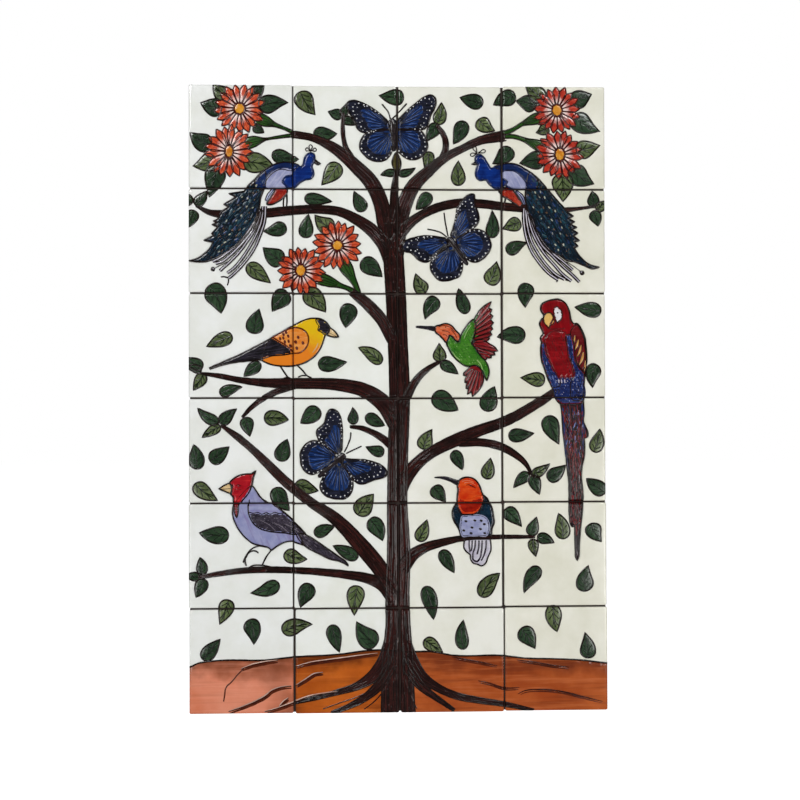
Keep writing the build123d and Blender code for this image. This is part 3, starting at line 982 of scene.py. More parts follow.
# along a petal: share of its length, and share of its half width there
PETAL_SHAPE = (
    (0.0, 0.36), (0.25, 0.56), (0.46, 0.86), (0.61, 1.0), (0.76, 0.82), (0.90, 0.40), (1.0, 0.04),
)
PETAL_HALF = 0.035  # half width of a petal of a flower with this radius
PETAL_RADIUS = 0.235
PETAL_ROOT = 0.8  # petals start at this share of the core's radius

# stalk end, tip, half width and whether the leaf is pale
FLOWER_LEAVES = [
    (0.40, 0.14, 0.238, 0.005, 0.080, True), (0.32, 0.245, 0.122, 0.186, 0.085, False),
    (0.68, 0.225, 0.950, 0.180, 0.085, False), (0.60, 0.10, 0.72, 0.02, 0.060, False),
    (0.22, 0.595, 0.022, 0.473, 0.085, False), (0.26, 0.72, 0.048, 0.790, 0.085, True),
    (0.53, 0.745, 0.810, 0.790, 0.095, True), (0.278, 0.79, 0.203, 1.085, 0.095, False),
    (0.62, 0.42, 0.72, 0.47, 0.040, False), (3.40, 0.14, 3.230, 0.007, 0.080, True),
    (3.33, 0.20, 3.138, 0.152, 0.080, False), (3.68, 0.16, 3.866, 0.082, 0.085, False),
    (3.69, 0.29, 3.944, 0.438, 0.095, False), (3.44, 0.40, 3.330, 0.455, 0.050, True),
    (3.72, 0.64, 3.945, 0.575, 0.085, True), (3.40, 0.71, 3.170, 0.750, 0.085, False),
    (3.66, 0.80, 3.885, 0.945, 0.100, False), (3.570, 0.85, 3.585, 1.117, 0.100, True),
    (0.90, 1.70, 0.712, 1.567, 0.085, False), (0.94, 1.99, 0.800, 2.175, 0.085, False),
    (1.11, 1.98, 1.305, 2.180, 0.090, True), (1.38, 1.39, 1.205, 1.255, 0.080, True),
]

STALKS = [
    [(1.00, 0.465, 0.018), (0.90, 0.42, 0.016), (0.82, 0.39, 0.024), (0.74, 0.36, 0.052),
     (0.64, 0.32, 0.060)],
    [(1.00, 0.490, 0.018), (0.86, 0.51, 0.014), (0.72, 0.535, 0.018), (0.64, 0.55, 0.050),
     (0.54, 0.58, 0.060)],
    [(2.99, 0.475, 0.026), (3.10, 0.43, 0.020), (3.20, 0.37, 0.022), (3.30, 0.33, 0.050),
     (3.40, 0.30, 0.060)],
    [(2.99, 0.490, 0.024), (3.12, 0.495, 0.020), (3.23, 0.53, 0.024), (3.33, 0.57, 0.050),
     (3.42, 0.60, 0.060)],
    [(1.62, 2.02, 0.026), (1.55, 1.97, 0.022), (1.45, 1.93, 0.024), (1.34, 1.89, 0.052),
     (1.22, 1.85, 0.060)],
    [(1.63, 2.03, 0.024), (1.60, 1.94, 0.024), (1.56, 1.86, 0.036), (1.51, 1.77, 0.062),
     (1.46, 1.68, 0.060)],
]


def oval(u, v, across, down, turn=1):
    """Points all round an ellipse, in tile pitches."""
    angles = [turn * 2 * pi * k / AROUND_CORE for k in range(AROUND_CORE)]
    return [(u + across * cos(angle), v + down * sin(angle)) for angle in angles]


def petal(u, v, radii, core, angle, share, height, glaze):
    """One petal, narrow and white at the core and broad and red towards its end."""
    wide = PETAL_HALF * radii[0] / PETAL_RADIUS * dice.uniform(0.92, 1.08)
    sway = dice.uniform(-0.03, 0.03)
    inner = [radius * PETAL_ROOT for radius in core]
    route = []
    for t, w in PETAL_SHAPE:
        reach = (inner[0] + (radii[0] * share - inner[0]) * t) * cos(angle + sway * t)
        drop = (inner[1] + (radii[1] * share - inner[1]) * t) * sin(angle + sway * t)
        route.append((*at(u + reach, v + drop), wide * w * PITCH))
    line = curve(route)
    ribbon(line, glaze, height, 9, 2.6, tone=dice.random(), turn=3.0)
    border = beside(line, 1) + beside(line, -1)[::-1][1:-1]
    stroke(border, 1.1, "petal_line", height + 0.38, closed=True, placed=True)
    mark([p[:2] for p in line[len(line) // 3:-4]], 0.45, "petal_vein", height + 0.14, placed=True)


def flower(u, v, wide, tall, core_wide, core_tall):
    """A daisy-like flower: a ring of petals in two layers round a golden core."""
    back = [at(*p) for p in oval(u, v, wide * 0.6, tall * 0.6)]
    pool(back[::-1], "petal_line", PETAL - 0.25, spacing=3.0)
    turn = dice.uniform(0, 0.3)
    glaze = "petal_deep" if u > COLUMNS / 2 else "petal"
    for k in [*range(0, PETALS, 2), *range(1, PETALS, 2)]:
        angle = 2 * pi * k / PETALS + turn + dice.uniform(-0.05, 0.05)
        share = dice.uniform(0.92, 1.04)
        height = PETAL + (0.3 if k % 2 else 0.0)
        petal(u, v, (wide, tall), (core_wide, core_tall), angle, share, height, glaze)
    core = [at(*p) for p in oval(u, v, core_wide, core_tall, -1)]
    pool(core[::-1], "core", CORE + 0.25, crown=0.9, edge=6.0, spacing=1.3)
    stroke(core, 1.5, "petal_line", CORE + 0.55, closed=True, placed=True)


def draw_flowers():
    """The six flowers with their leaves and stalks."""
    for u0, v0, u1, v1, half, pale in FLOWER_LEAVES:
        leaf(u0, v0, u1, v1, half, pale, LEAF + 0.1, strayed=False)
    for route in STALKS:
        line = band(route, "stem", STEM + 0.25, half=1.1)
        for share in (-0.35, 0.1, 0.5):
            mark(beside(line[len(line) // 2:], share), 0.5, "line", STEM + 0.6, placed=True)
    for place in FLOWERS:
        flower(*place)


# ---- butterflies --------------------------------------------------------------------------------
# each wing: its root, how far the blue reaches, and its outline, all in u and v
BUTTERFLY_HIGH = [
    ((1.93, 0.40), 0.70, [
        (1.904, 0.356), (1.86, 0.308), (1.78, 0.244), (1.70, 0.196), (1.636, 0.168), (1.572, 0.154),
        (1.528, 0.166), (1.51, 0.188), (1.516, 0.236), (1.54, 0.28), (1.576, 0.332), (1.596, 0.372),
        (1.608, 0.42), (1.644, 0.452), (1.684, 0.464), (1.748, 0.452), (1.82, 0.44), (1.91, 0.432)]),
    ((1.94, 0.47), 0.80, [
        (1.92, 0.44), (1.82, 0.440), (1.75, 0.452), (1.70, 0.468), (1.66, 0.508), (1.636, 0.564),
        (1.632, 0.60), (1.644, 0.636), (1.676, 0.676), (1.716, 0.712), (1.78, 0.736), (1.844, 0.736),
        (1.892, 0.716), (1.928, 0.672), (1.944, 0.628), (1.942, 0.548), (1.938, 0.476)]),
    ((1.99, 0.40), 0.70, [
        (1.98, 0.36), (2.004, 0.335), (2.052, 0.285), (2.108, 0.232), (2.164, 0.184), (2.22, 0.140),
        (2.268, 0.110), (2.316, 0.098), (2.356, 0.12), (2.366, 0.172), (2.348, 0.236), (2.316, 0.29),
        (2.302, 0.34), (2.284, 0.388), (2.26, 0.42), (2.19, 0.432), (2.10, 0.430), (2.0, 0.436)]),
    ((1.99, 0.46), 0.80, [
        (1.99, 0.444), (2.10, 0.432), (2.22, 0.444), (2.256, 0.484), (2.28, 0.548), (2.286, 0.596),
        (2.26, 0.652), (2.22, 0.696), (2.164, 0.72), (2.10, 0.716), (2.044, 0.684), (2.008, 0.644),
        (1.985, 0.60), (1.975, 0.54)]),
]
BODY_HIGH = [(1.935, 0.325, 0.012), (1.945, 0.36, 0.020), (1.952, 0.44, 0.024), (1.958, 0.54, 0.020),
             (1.96, 0.645, 0.008)]
FEELERS_HIGH = [[(1.93, 0.335), (1.905, 0.26), (1.875, 0.22), (1.845, 0.185)],
                [(1.945, 0.33), (2.0, 0.275), (2.045, 0.225), (2.088, 0.178)]]

BUTTERFLY_MIDDLE = [
    ((2.52, 1.49), 0.66, [
        (2.507, 1.456), (2.524, 1.381), (2.545, 1.306), (2.558, 1.238), (2.565, 1.19), (2.592, 1.136),
        (2.626, 1.095), (2.667, 1.061), (2.708, 1.046), (2.728, 1.051), (2.735, 1.088), (2.739, 1.15),
        (2.756, 1.197), (2.773, 1.252), (2.776, 1.293), (2.759, 1.34), (2.715, 1.381), (2.647, 1.415),
        (2.592, 1.449), (2.552, 1.476)]),
    ((2.55, 1.51), 0.80, [
        (2.558, 1.476), (2.613, 1.442), (2.667, 1.408), (2.715, 1.391), (2.769, 1.388), (2.817, 1.405),
        (2.858, 1.442), (2.882, 1.497), (2.892, 1.537), (2.882, 1.585), (2.851, 1.633), (2.81, 1.673),
        (2.763, 1.697), (2.701, 1.697), (2.66, 1.673), (2.613, 1.612), (2.572, 1.551)]),
    ((2.47, 1.51), 0.68, [
        (2.456, 1.476), (2.402, 1.463), (2.32, 1.452), (2.239, 1.452), (2.171, 1.463), (2.103, 1.483),
        (2.055, 1.51), (2.038, 1.537), (2.038, 1.578), (2.069, 1.602), (2.116, 1.612), (2.15, 1.639),
        (2.191, 1.68), (2.239, 1.70), (2.286, 1.70), (2.32, 1.673), (2.361, 1.626), (2.416, 1.585),
        (2.47, 1.544)]),
    ((2.51, 1.55), 0.80, [
        (2.484, 1.551), (2.416, 1.599), (2.354, 1.646), (2.314, 1.70), (2.307, 1.748), (2.32, 1.796),
        (2.354, 1.844), (2.388, 1.874), (2.436, 1.884), (2.484, 1.878), (2.538, 1.861), (2.579, 1.844),
        (2.606, 1.796), (2.616, 1.741), (2.613, 1.687), (2.586, 1.626), (2.538, 1.558)]),
]
BODY_MIDDLE = [(2.475, 1.462, 0.012), (2.50, 1.50, 0.020), (2.55, 1.57, 0.019), (2.61, 1.652, 0.016),
               (2.668, 1.732, 0.010)]
FEELERS_MIDDLE = [[(2.48, 1.46), (2.455, 1.34), (2.44, 1.225)],
                  [(2.47, 1.465), (2.41, 1.42), (2.35, 1.40), (2.275, 1.386)]]

BUTTERFLY_LOW = [
    ((1.44, 3.55), 0.68, [
        (1.454, 3.504), (1.46, 3.439), (1.464, 3.361), (1.462, 3.283), (1.454, 3.219), (1.441, 3.167),
        (1.415, 3.128), (1.376, 3.108), (1.344, 3.112), (1.318, 3.147), (1.305, 3.193), (1.285, 3.245),
        (1.253, 3.277), (1.224, 3.303), (1.217, 3.335), (1.227, 3.374), (1.246, 3.413), (1.292, 3.446),
        (1.344, 3.484), (1.396, 3.53)]),
    ((1.40, 3.57), 0.80, [
        (1.389, 3.53), (1.324, 3.465), (1.259, 3.426), (1.214, 3.407), (1.169, 3.41), (1.117, 3.439),
        (1.081, 3.484), (1.062, 3.53), (1.065, 3.582), (1.071, 3.634), (1.097, 3.686), (1.13, 3.715),
        (1.182, 3.728), (1.227, 3.711), (1.279, 3.686), (1.337, 3.647), (1.389, 3.608)]),
    ((1.47, 3.60), 0.66, [
        (1.47, 3.585), (1.551, 3.585), (1.623, 3.588), (1.70, 3.595), (1.765, 3.614), (1.83, 3.64),
        (1.869, 3.673), (1.887, 3.711), (1.875, 3.747), (1.83, 3.767), (1.765, 3.783), (1.707, 3.806),
        (1.655, 3.822), (1.61, 3.815), (1.577, 3.789), (1.545, 3.75), (1.499, 3.686), (1.467, 3.634)]),
    ((1.435, 3.61), 0.80, [
        (1.415, 3.608), (1.363, 3.64), (1.318, 3.686), (1.285, 3.744), (1.259, 3.802), (1.25, 3.848),
        (1.266, 3.893), (1.305, 3.932), (1.363, 3.955), (1.422, 3.964), (1.48, 3.961), (1.525, 3.932),
        (1.554, 3.887), (1.564, 3.835), (1.558, 3.783), (1.538, 3.737), (1.499, 3.679), (1.454, 3.621)]),
]
BODY_LOW = [(1.488, 3.532, 0.016), (1.45, 3.57, 0.026), (1.38, 3.63, 0.017), (1.30, 3.695, 0.015),
            (1.232, 3.757, 0.009)]
FEELERS_LOW = [[(1.48, 3.52), (1.52, 3.44), (1.54, 3.38), (1.545, 3.325)],
               [(1.495, 3.532), (1.56, 3.50), (1.65, 3.46)]]


BUTTERFLIES = [
    (BUTTERFLY_HIGH, BODY_HIGH, FEELERS_HIGH),
    (BUTTERFLY_MIDDLE, BODY_MIDDLE, FEELERS_MIDDLE),
    (BUTTERFLY_LOW, BODY_LOW, FEELERS_LOW),
]

WING_ROOT = 0.16  # veins and spots keep this far from a wing's root, in tile pitches
WING_VEINS = 9
SPOT_GAP = 4  # points of the wing's edge from one spot to the next


def toward(point, root, share):
    """A point drawn in towards a root."""
    return root[0] + (point[0] - root[0]) * share, root[1] + (point[1] - root[1]) * share


def wing_spot(point, radius, height):
    """A white dot at a place given in millimetres."""
    dot(point[0] / PITCH + COLUMNS / 2, ROWS / 2 - point[1] / PITCH, radius, "spot", WING + height)


def wing(root, share, points):
    """A butterfly's wing: a black margin with white spots round a blue field with fine veins."""
    shape(points, "wing_black", WING, half=1.1)
    far = max(points, key=lambda p: hypot(p[0] - root[0], p[1] - root[1]))
    field = [toward(p, root, share) for p in points]
    pool(outline(field), "wing_blue", WING + 0.14, 0.2, 1.5, flow=directed(root, far))
    outer = curve([at(*p) for p in points], closed=True, step=2.0)
    base = at(*root)
    spread = [p for p in outer if hypot(p[0] - base[0], p[1] - base[1]) > WING_ROOT * PITCH]
    step = max(1, len(spread) // WING_VEINS)
    for k in range(step // 2, len(spread), step):
        tip = toward(spread[k], base, share * 0.97)
        bow = toward(tip, base, 0.55)
        mark(curve([toward(tip, base, 0.12), bow, tip]), 0.75, "wing_black", WING + 0.36, placed=True)
    for k in range(step, len(spread), step):
        tip = toward(spread[k], base, share * dice.uniform(0.78, 0.92))
        start = toward(tip, base, dice.uniform(0.35, 0.6))
        mark(curve([start, tip]), 0.4, "wing_pale", WING + 0.24, placed=True)
    for k in range(SPOT_GAP // 2, len(spread), SPOT_GAP):
        place = toward(spread[k], base, (1 + share) / 2 + dice.uniform(0.0, 0.06))
        wing_spot(place, dice.uniform(0.9, 1.7), 0.6)
    if share < 0.75:
        for k in range(SPOT_GAP, len(spread), SPOT_GAP * 2):
            wing_spot(toward(spread[k], base, share + 0.08), dice.uniform(0.6, 1.1), 0.5)


def butterfly(wings, body, feelers):
    """A butterfly seen from above, with spread wings."""
    taper([(u, v, half * 1.9) for u, v, half in body], "wing_black", WING - 0.1)
    for root, share, points in wings:
        wing(root, share, points)
    taper([(u, v, half * 1.25) for u, v, half in body], "body_dark", WING + 0.75, 2.2)
    middle = curve([(*at(u, v), w * PITCH) for u, v, w in body])
    for k in range(1, 7):
        x, z, half = middle[int(len(middle) * (0.30 + 0.09 * k))]
        stripe = curve([(x - half * 0.8, z), (x + half * 0.8, z)], step=0.7)
        mark(stripe, 0.35, "wing_black", WING + 0.85, placed=True)
    for points in feelers:
        stroke(points, 1.15, "line", WING - 0.3)


# ---- peacocks -----------------------------------------------------------------------------------
PEACOCK_LEFT = {
    "train": [
        (0.72, 0.83), (0.678, 0.869), (0.62, 0.928), (0.571, 0.976), (0.535, 1.03, 1), (0.39, 1.053, 1),
        (0.455, 1.085, 1), (0.339, 1.155, 1), (0.385, 1.18, 1), (0.31, 1.235), (0.285, 1.295, 1),
        (0.242, 1.315, 1), (0.275, 1.33, 1), (0.230, 1.350, 1), (0.285, 1.37, 1), (0.225, 1.432, 1),
        (0.245, 1.452, 1), (0.152, 1.499, 1), (0.237, 1.515, 1), (0.213, 1.566), (0.145, 1.634),
        (0.077, 1.675), (0.012, 1.694, 1), (0.097, 1.704), (0.19, 1.697), (0.26, 1.67), (0.387, 1.595),
        (0.484, 1.528), (0.561, 1.441), (0.62, 1.353), (0.658, 1.266), (0.678, 1.17), (0.69, 1.092),
        (0.72, 1.01), (0.745, 0.93)],
    "flow": ((0.72, 0.90), (0.12, 1.68)),
    "back": [
        (1.05, 0.778), (0.997, 0.758), (0.949, 0.750), (0.871, 0.757), (0.803, 0.780), (0.736, 0.820),
        (0.678, 0.869), (0.64, 0.91), (0.65, 1.0), (0.70, 1.02), (0.745, 0.93), (0.80, 0.86),
        (0.88, 0.82), (0.99, 0.83)],
    "wing": [
        (0.733, 0.985), (0.742, 0.908), (0.774, 0.858), (0.823, 0.820), (0.891, 0.803), (0.968, 0.806),
        (1.01, 0.830), (0.985, 0.872), (0.925, 0.890), (0.905, 0.915), (0.912, 0.95), (0.94, 0.985),
        (0.90, 1.003), (0.823, 1.005), (0.76, 1.0)],
    "neck": [
        (1.166, 0.661), (1.125, 0.680), (1.104, 0.720), (1.094, 0.768), (1.078, 0.790), (1.03, 0.783),
        (0.99, 0.80), (0.985, 0.87), (0.91, 0.905), (0.895, 0.937), (0.915, 0.965), (0.968, 0.993),
        (1.016, 0.984), (1.065, 0.947), (1.113, 0.918), (1.170, 0.905), (1.192, 0.872), (1.190, 0.831),
        (1.177, 0.785), (1.196, 0.745), (1.205, 0.70), (1.195, 0.672)],
    "beak": [(1.19, 0.705, 1), (1.225, 0.733), (1.262, 0.762, 1), (1.245, 0.776), (1.186, 0.748, 1)],
    "eye": (1.168, 0.693),
    "plumes": [
        [(0.736, 1.17), (0.735, 1.22), (0.726, 1.315), (0.687, 1.44), (0.629, 1.576), (0.542, 1.702),
         (0.455, 1.799), (0.385, 1.860)],
        [(0.711, 1.17), (0.697, 1.315), (0.649, 1.44), (0.581, 1.566), (0.503, 1.683), (0.426, 1.77),
         (0.370, 1.812)],
        [(0.70, 1.20), (0.687, 1.266), (0.639, 1.383), (0.561, 1.508), (0.474, 1.624), (0.387, 1.712),
         (0.300, 1.790)],
        [(0.69, 1.22), (0.668, 1.305), (0.60, 1.421), (0.503, 1.537), (0.407, 1.634), (0.319, 1.702),
         (0.261, 1.720)],
        [(0.68, 1.20), (0.65, 1.29), (0.585, 1.395), (0.49, 1.52), (0.40, 1.595), (0.30, 1.668),
         (0.232, 1.702)],
    ],
    "quill": [(0.815, 1.015, 0.018), (0.775, 1.065, 0.024), (0.740, 1.125, 0.014)],
    "flank": [
        (0.83, 1.012), (0.90, 1.008), (0.94, 1.012), (0.938, 1.05), (0.905, 1.09), (0.85, 1.13),
        (0.79, 1.155), (0.75, 1.152), (0.77, 1.11), (0.80, 1.06)],
    "legs": [[(0.912, 1.08), (0.906, 1.13), (0.905, 1.185)], [(0.938, 1.05), (0.940, 1.12), (0.936, 1.185)]],
    "crest": [((1.166, 0.592), (1.166, 0.64)), ((1.125, 0.624), (1.158, 0.640)),
              ((1.212, 0.626), (1.175, 0.640))],
    "loop": ((0.40, 1.69), (0.30, 1.74), (0.237, 1.772)),
    "fork": [
        [(0.388, 1.858), (0.34, 1.845), (0.308, 1.848)], [(0.385, 1.86), (0.383, 1.895), (0.372, 1.93)]],
}

PEACOCK_RIGHT = {
    "train": [
        (3.27, 0.84), (3.308, 0.864), (3.375, 0.927), (3.433, 0.995), (3.491, 1.063), (3.54, 1.121),
        (3.588, 1.169), (3.622, 1.215, 1), (3.684, 1.258, 1), (3.636, 1.28, 1), (3.697, 1.312, 1),
        (3.654, 1.333, 1), (3.718, 1.365, 1), (3.672, 1.387, 1), (3.727, 1.42, 1), (3.683, 1.447, 1),
        (3.742, 1.493, 1), (3.69, 1.505, 1), (3.727, 1.546, 1), (3.69, 1.563, 1), (3.723, 1.614),
        (3.772, 1.672), (3.83, 1.718), (3.932, 1.749, 1), (3.869, 1.764), (3.791, 1.735), (3.704, 1.70),
        (3.617, 1.681), (3.549, 1.633), (3.472, 1.604), (3.404, 1.536), (3.346, 1.449), (3.308, 1.362),
        (3.269, 1.266), (3.240, 1.188), (3.225, 1.12), (3.225, 1.02), (3.235, 0.93)],
    "flow": ((3.28, 0.90), (3.80, 1.74)),
    "back": [
        (2.925, 0.783), (2.95, 0.774), (3.008, 0.757), (3.076, 0.752), (3.153, 0.767), (3.23, 0.810),
        (3.308, 0.864), (3.34, 0.91), (3.33, 1.0), (3.26, 1.02), (3.235, 0.95), (3.19, 0.88),
        (3.12, 0.83), (3.0, 0.82)],
    "wing": [
        (3.005, 0.835), (3.066, 0.816), (3.124, 0.830), (3.182, 0.877), (3.228, 0.937), (3.243, 0.99),
        (3.192, 0.998), (3.114, 0.993), (3.064, 0.98), (3.035, 0.962), (3.05, 0.93), (3.02, 0.905),
        (2.99, 0.885)],
    "neck": [
        (2.785, 0.671), (2.748, 0.690), (2.742, 0.730), (2.765, 0.765), (2.750, 0.811), (2.743, 0.850),
        (2.752, 0.889), (2.781, 0.916), (2.843, 0.913), (2.877, 0.956), (2.921, 0.985), (2.975, 0.987),
        (3.02, 0.965), (3.05, 0.935), (3.005, 0.90), (2.985, 0.85), (2.99, 0.80), (2.93, 0.79),
        (2.892, 0.800), (2.872, 0.772), (2.848, 0.734), (2.824, 0.695)],
    "beak": [(2.748, 0.722, 1), (2.735, 0.74), (2.705, 0.762, 1), (2.728, 0.768), (2.762, 0.762, 1)],
    "eye": (2.783, 0.705),
    "plumes": [
        [(3.207, 1.18), (3.204, 1.26), (3.211, 1.36), (3.235, 1.48), (3.282, 1.60), (3.356, 1.71),
         (3.443, 1.807), (3.535, 1.872)],
        [(3.225, 1.20), (3.24, 1.353), (3.279, 1.498), (3.346, 1.623), (3.424, 1.73), (3.511, 1.817),
         (3.600, 1.868)],
        [(3.240, 1.20), (3.279, 1.391), (3.337, 1.517), (3.414, 1.633), (3.501, 1.73), (3.578, 1.817),
         (3.665, 1.885)],
        [(3.255, 1.23), (3.317, 1.42), (3.385, 1.546), (3.472, 1.633), (3.578, 1.74), (3.665, 1.817),
         (3.743, 1.894)],
        [(3.27, 1.25), (3.34, 1.43), (3.41, 1.54), (3.482, 1.614), (3.578, 1.691), (3.678, 1.778)],
    ],
    "quill": [(3.125, 1.018, 0.012), (3.18, 1.07, 0.024), (3.215, 1.15, 0.014)],
    "flank": [
        (2.965, 1.005), (3.008, 0.988), (3.076, 0.985), (3.110, 1.02), (3.150, 1.08), (3.192, 1.15),
        (3.175, 1.17), (3.114, 1.135), (3.056, 1.097), (2.992, 1.055)],
    "legs": [[(2.995, 1.06), (2.99, 1.10), (2.986, 1.14)], [(3.03, 1.08), (3.028, 1.11), (3.02, 1.14)]],
    "crest": [((2.732, 0.600), (2.758, 0.655)), ((2.828, 0.633), (2.772, 0.652)),
              ((2.706, 0.672), (2.757, 0.658))],
    "loop": ((3.615, 1.694), (3.70, 1.75), (3.765, 1.802)),
    "fork": [[(3.535, 1.872), (3.53, 1.88), (3.515, 1.892)], [(3.60, 1.868), (3.63, 1.876), (3.668, 1.878)]],
}


PLUME_HALF = 0.013
TRAIN_FLECKS = ["train_teal", "train_blue", "train_blue", "line", "line", "line", "train_brown"]

MARK_CLEAR = 1.6  # scattered marks start this far inside an outline
MARK_TURN = 0.4  # how far they turn from the way the area runs
MARK_SHIFT = 0.25  # and how far they stray, as a share of their spacing


def scatter(points, ends, spacing, glazes, top, length=(1.5, 3.4), half=(0.35, 0.7)):
    """Short raised marks over an outlined area, about along the way that it runs."""
    x0, z0 = at(*ends[0])
    x1, z1 = at(*ends[1])
    for x, z, away in inner_points(outline(points), spacing):
        if away < MARK_CLEAR:
            continue
        turn = atan2(z1 - z0, x1 - x0) + dice.uniform(-MARK_TURN, MARK_TURN)
        reach = dice.uniform(*length) / 2
        px = x + dice.uniform(-MARK_SHIFT, MARK_SHIFT) * spacing
        pz = z + dice.uniform(-MARK_SHIFT, MARK_SHIFT) * spacing
        dx = reach * cos(turn)
        dz = reach * sin(turn)
        line = curve([(px - dx, pz - dz), (px + dx, pz + dz)], step=0.8)
        mark(line, dice.uniform(*half), dice.choice(glazes), top, dice.random(), True)


def drop(start, end, half, glaze, top):
    """An open drop drawn in one line, from its point to its round end and back."""
    du, dv = end[0] - start[0], end[1] - start[1]
    run = hypot(du, dv)
    sides = []
    for side in (1, -1):
        for along, out in ((0.35, 0.5), (0.7, 1.0), (0.93, 0.6)):
            away = side * half * out / run
            sides.append((start[0] + du * along - dv * away, start[1] + dv * along + du * away))
    stroke([start, *sides[:3], end, *sides[:2:-1]], 0.8, glaze, top, closed=True)


def peacock(parts):
    """A peacock in profile with its train hanging down behind the limb."""
    for points in parts["legs"]:
        stroke(points, 1.3, "line", BIRD - 0.2)
    shape(parts["flank"], "flank_red", BIRD - 0.05)
    scatter(parts["flank"], parts["flow"], 5.0, ["flank_dark", "flank_pale"], BIRD + 0.2, (3, 5))
    shape(parts["train"], "train", BIRD, flow=directed(*parts["flow"]))
    scatter(parts["train"], parts["flow"], 4.4, TRAIN_FLECKS, BIRD + 0.28, (1.8, 4.6), (0.4, 0.8))
    scatter(parts["train"], parts["flow"], 10.5, ["train_teal", "train_teal", "train_blue"], BIRD + 0.46,
            (6.0, 9.0), (1.3, 1.9))
    scatter(parts["train"], parts["flow"], 12.5, ["train_pale", "train_pale", "train_brown"], BIRD + 0.66,
            (2.6, 4.6), (0.7, 1.15))
    for points in parts["plumes"]:
        band([(u, v, PLUME_HALF) for u, v in points], "plume", BIRD + 0.1, half=1.05)
    shape(parts["back"], "navy", BIRD + 0.15, half=1.1)
    shape(parts["wing"], "lilac", BIRD + 0.3, line="navy", flow=directed(*parts["flow"]))
    band(parts["quill"], "lilac", BIRD + 0.3, half=1.0)
    mark([p[:2] for p in parts["quill"]], 0.8, "navy", BIRD + 0.6)
    shape(parts["neck"], "peacock_blue", BIRD + 0.4, line="navy", crown=0.6, edge=6.0)
    shape(parts["beak"], "line", BIRD + 0.3, half=0.5)
    u, v = parts["eye"]
    dot(u, v, 1.5, "plume", BIRD + 0.65)
    dot(u, v, 0.9, "line", BIRD + 0.85)
    for end, start in parts["crest"]:
        drop(start, toward(end, start, 1.2), 0.016, "line", BIRD - 0.1)
    root = parts["crest"][0][1]
    stroke([root, toward(root, parts["eye"], 0.3)], 0.8, "line", BIRD)
    stroke(parts["loop"], 0.7, "line", BIRD - 0.2)
    before, end = parts["loop"][1:]
    near = toward(before, end, 0.35)
    beyond = toward(before, end, -0.35)
    taper([(*near, 0.006), (*end, 0.026), (*beyond, 0.008)], "line", BIRD - 0.2)
    taper([(*toward(near, end, 0.5), 0.004), (*end, 0.011)], "plume", BIRD + 0.1, base=BIRD - 0.4)
    for points in parts["fork"]:
        stroke(points, 1.1, "line", BIRD - 0.3)


# ---- the yellow bird ------------------------------------------------------------------------------
YELLOW_BODY = [
    (1.194, 2.241), (1.257, 2.2475), (1.311, 2.279), (1.340, 2.33), (1.328, 2.385), (1.302, 2.405),
    (1.289, 2.441), (1.271, 2.495), (1.244, 2.549), (1.194, 2.6075), (1.122, 2.657), (1.05, 2.684),
    (0.96, 2.6975), (0.87, 2.695), (0.798, 2.684), (0.735, 2.6615), (0.69, 2.636, 1), (0.735, 2.50, 1),
    (0.807, 2.415), (0.87, 2.3825), (0.96, 2.3285), (1.014, 2.3015), (1.095, 2.261), (1.149, 2.245)]
YELLOW_TAIL = [
    (0.80, 2.420, 1), (0.861, 2.459), (0.915, 2.49), (0.96, 2.5265), (1.0, 2.574, 1), (0.915, 2.5895),
    (0.78, 2.603), (0.69, 2.637, 1), (0.636, 2.639), (0.555, 2.648), (0.465, 2.657), (0.33, 2.684),
    (0.21, 2.724, 1), (0.204, 2.712, 1), (0.33, 2.657), (0.465, 2.5985), (0.60, 2.531), (0.735, 2.459)]
YELLOW_PATCH = [
    (0.800, 2.423, 1), (0.86, 2.392), (0.96, 2.342), (1.014, 2.330), (1.086, 2.3465), (1.131, 2.387),
    (1.1445, 2.45), (1.131, 2.504), (1.095, 2.549), (1.05, 2.5715), (0.996, 2.569), (0.96, 2.5265),
    (0.915, 2.4905), (0.861, 2.459)]
YELLOW_MASK = [
    (1.212, 2.2565), (1.257, 2.250), (1.311, 2.281), (1.346, 2.3285), (1.329, 2.387), (1.3065, 2.4005),
    (1.266, 2.3735), (1.2345, 2.3555), (1.239, 2.315), (1.221, 2.2835)]
YELLOW_BEAK = [(1.345, 2.328, 1), (1.392, 2.3645), (1.430, 2.418, 1), (1.392, 2.421), (1.322, 2.404, 1)]
YELLOW_MARKS = [
    (0.951, 2.412), (0.906, 2.396), (0.8745, 2.4365), (0.9195, 2.466), (1.0455, 2.423), (1.023, 2.468),
    (1.0905, 2.477), (1.032, 2.5265), (0.905, 2.43), (0.955, 2.46), (0.93, 2.375), (0.97, 2.505)]

# half width and points
YELLOW_LEGS = [
    (1.3, [(0.87, 2.69), (0.906, 2.747), (0.9465, 2.805)]),
    (1.3, [(1.03, 2.685), (1.086, 2.738), (1.125, 2.785), (1.176, 2.812)]),
    (1.1, [(1.04, 2.803), (1.085, 2.787), (1.122, 2.789)]),
    (1.1, [(0.90, 2.815), (0.945, 2.803), (0.98, 2.818)]),
]
YELLOW_QUILLS = [
    ((0.93, 2.525), (0.55, 2.585)), ((0.92, 2.55), (0.50, 2.62)), ((0.90, 2.57), (0.62, 2.618)),
    ((0.86, 2.495), (0.66, 2.53)),
]


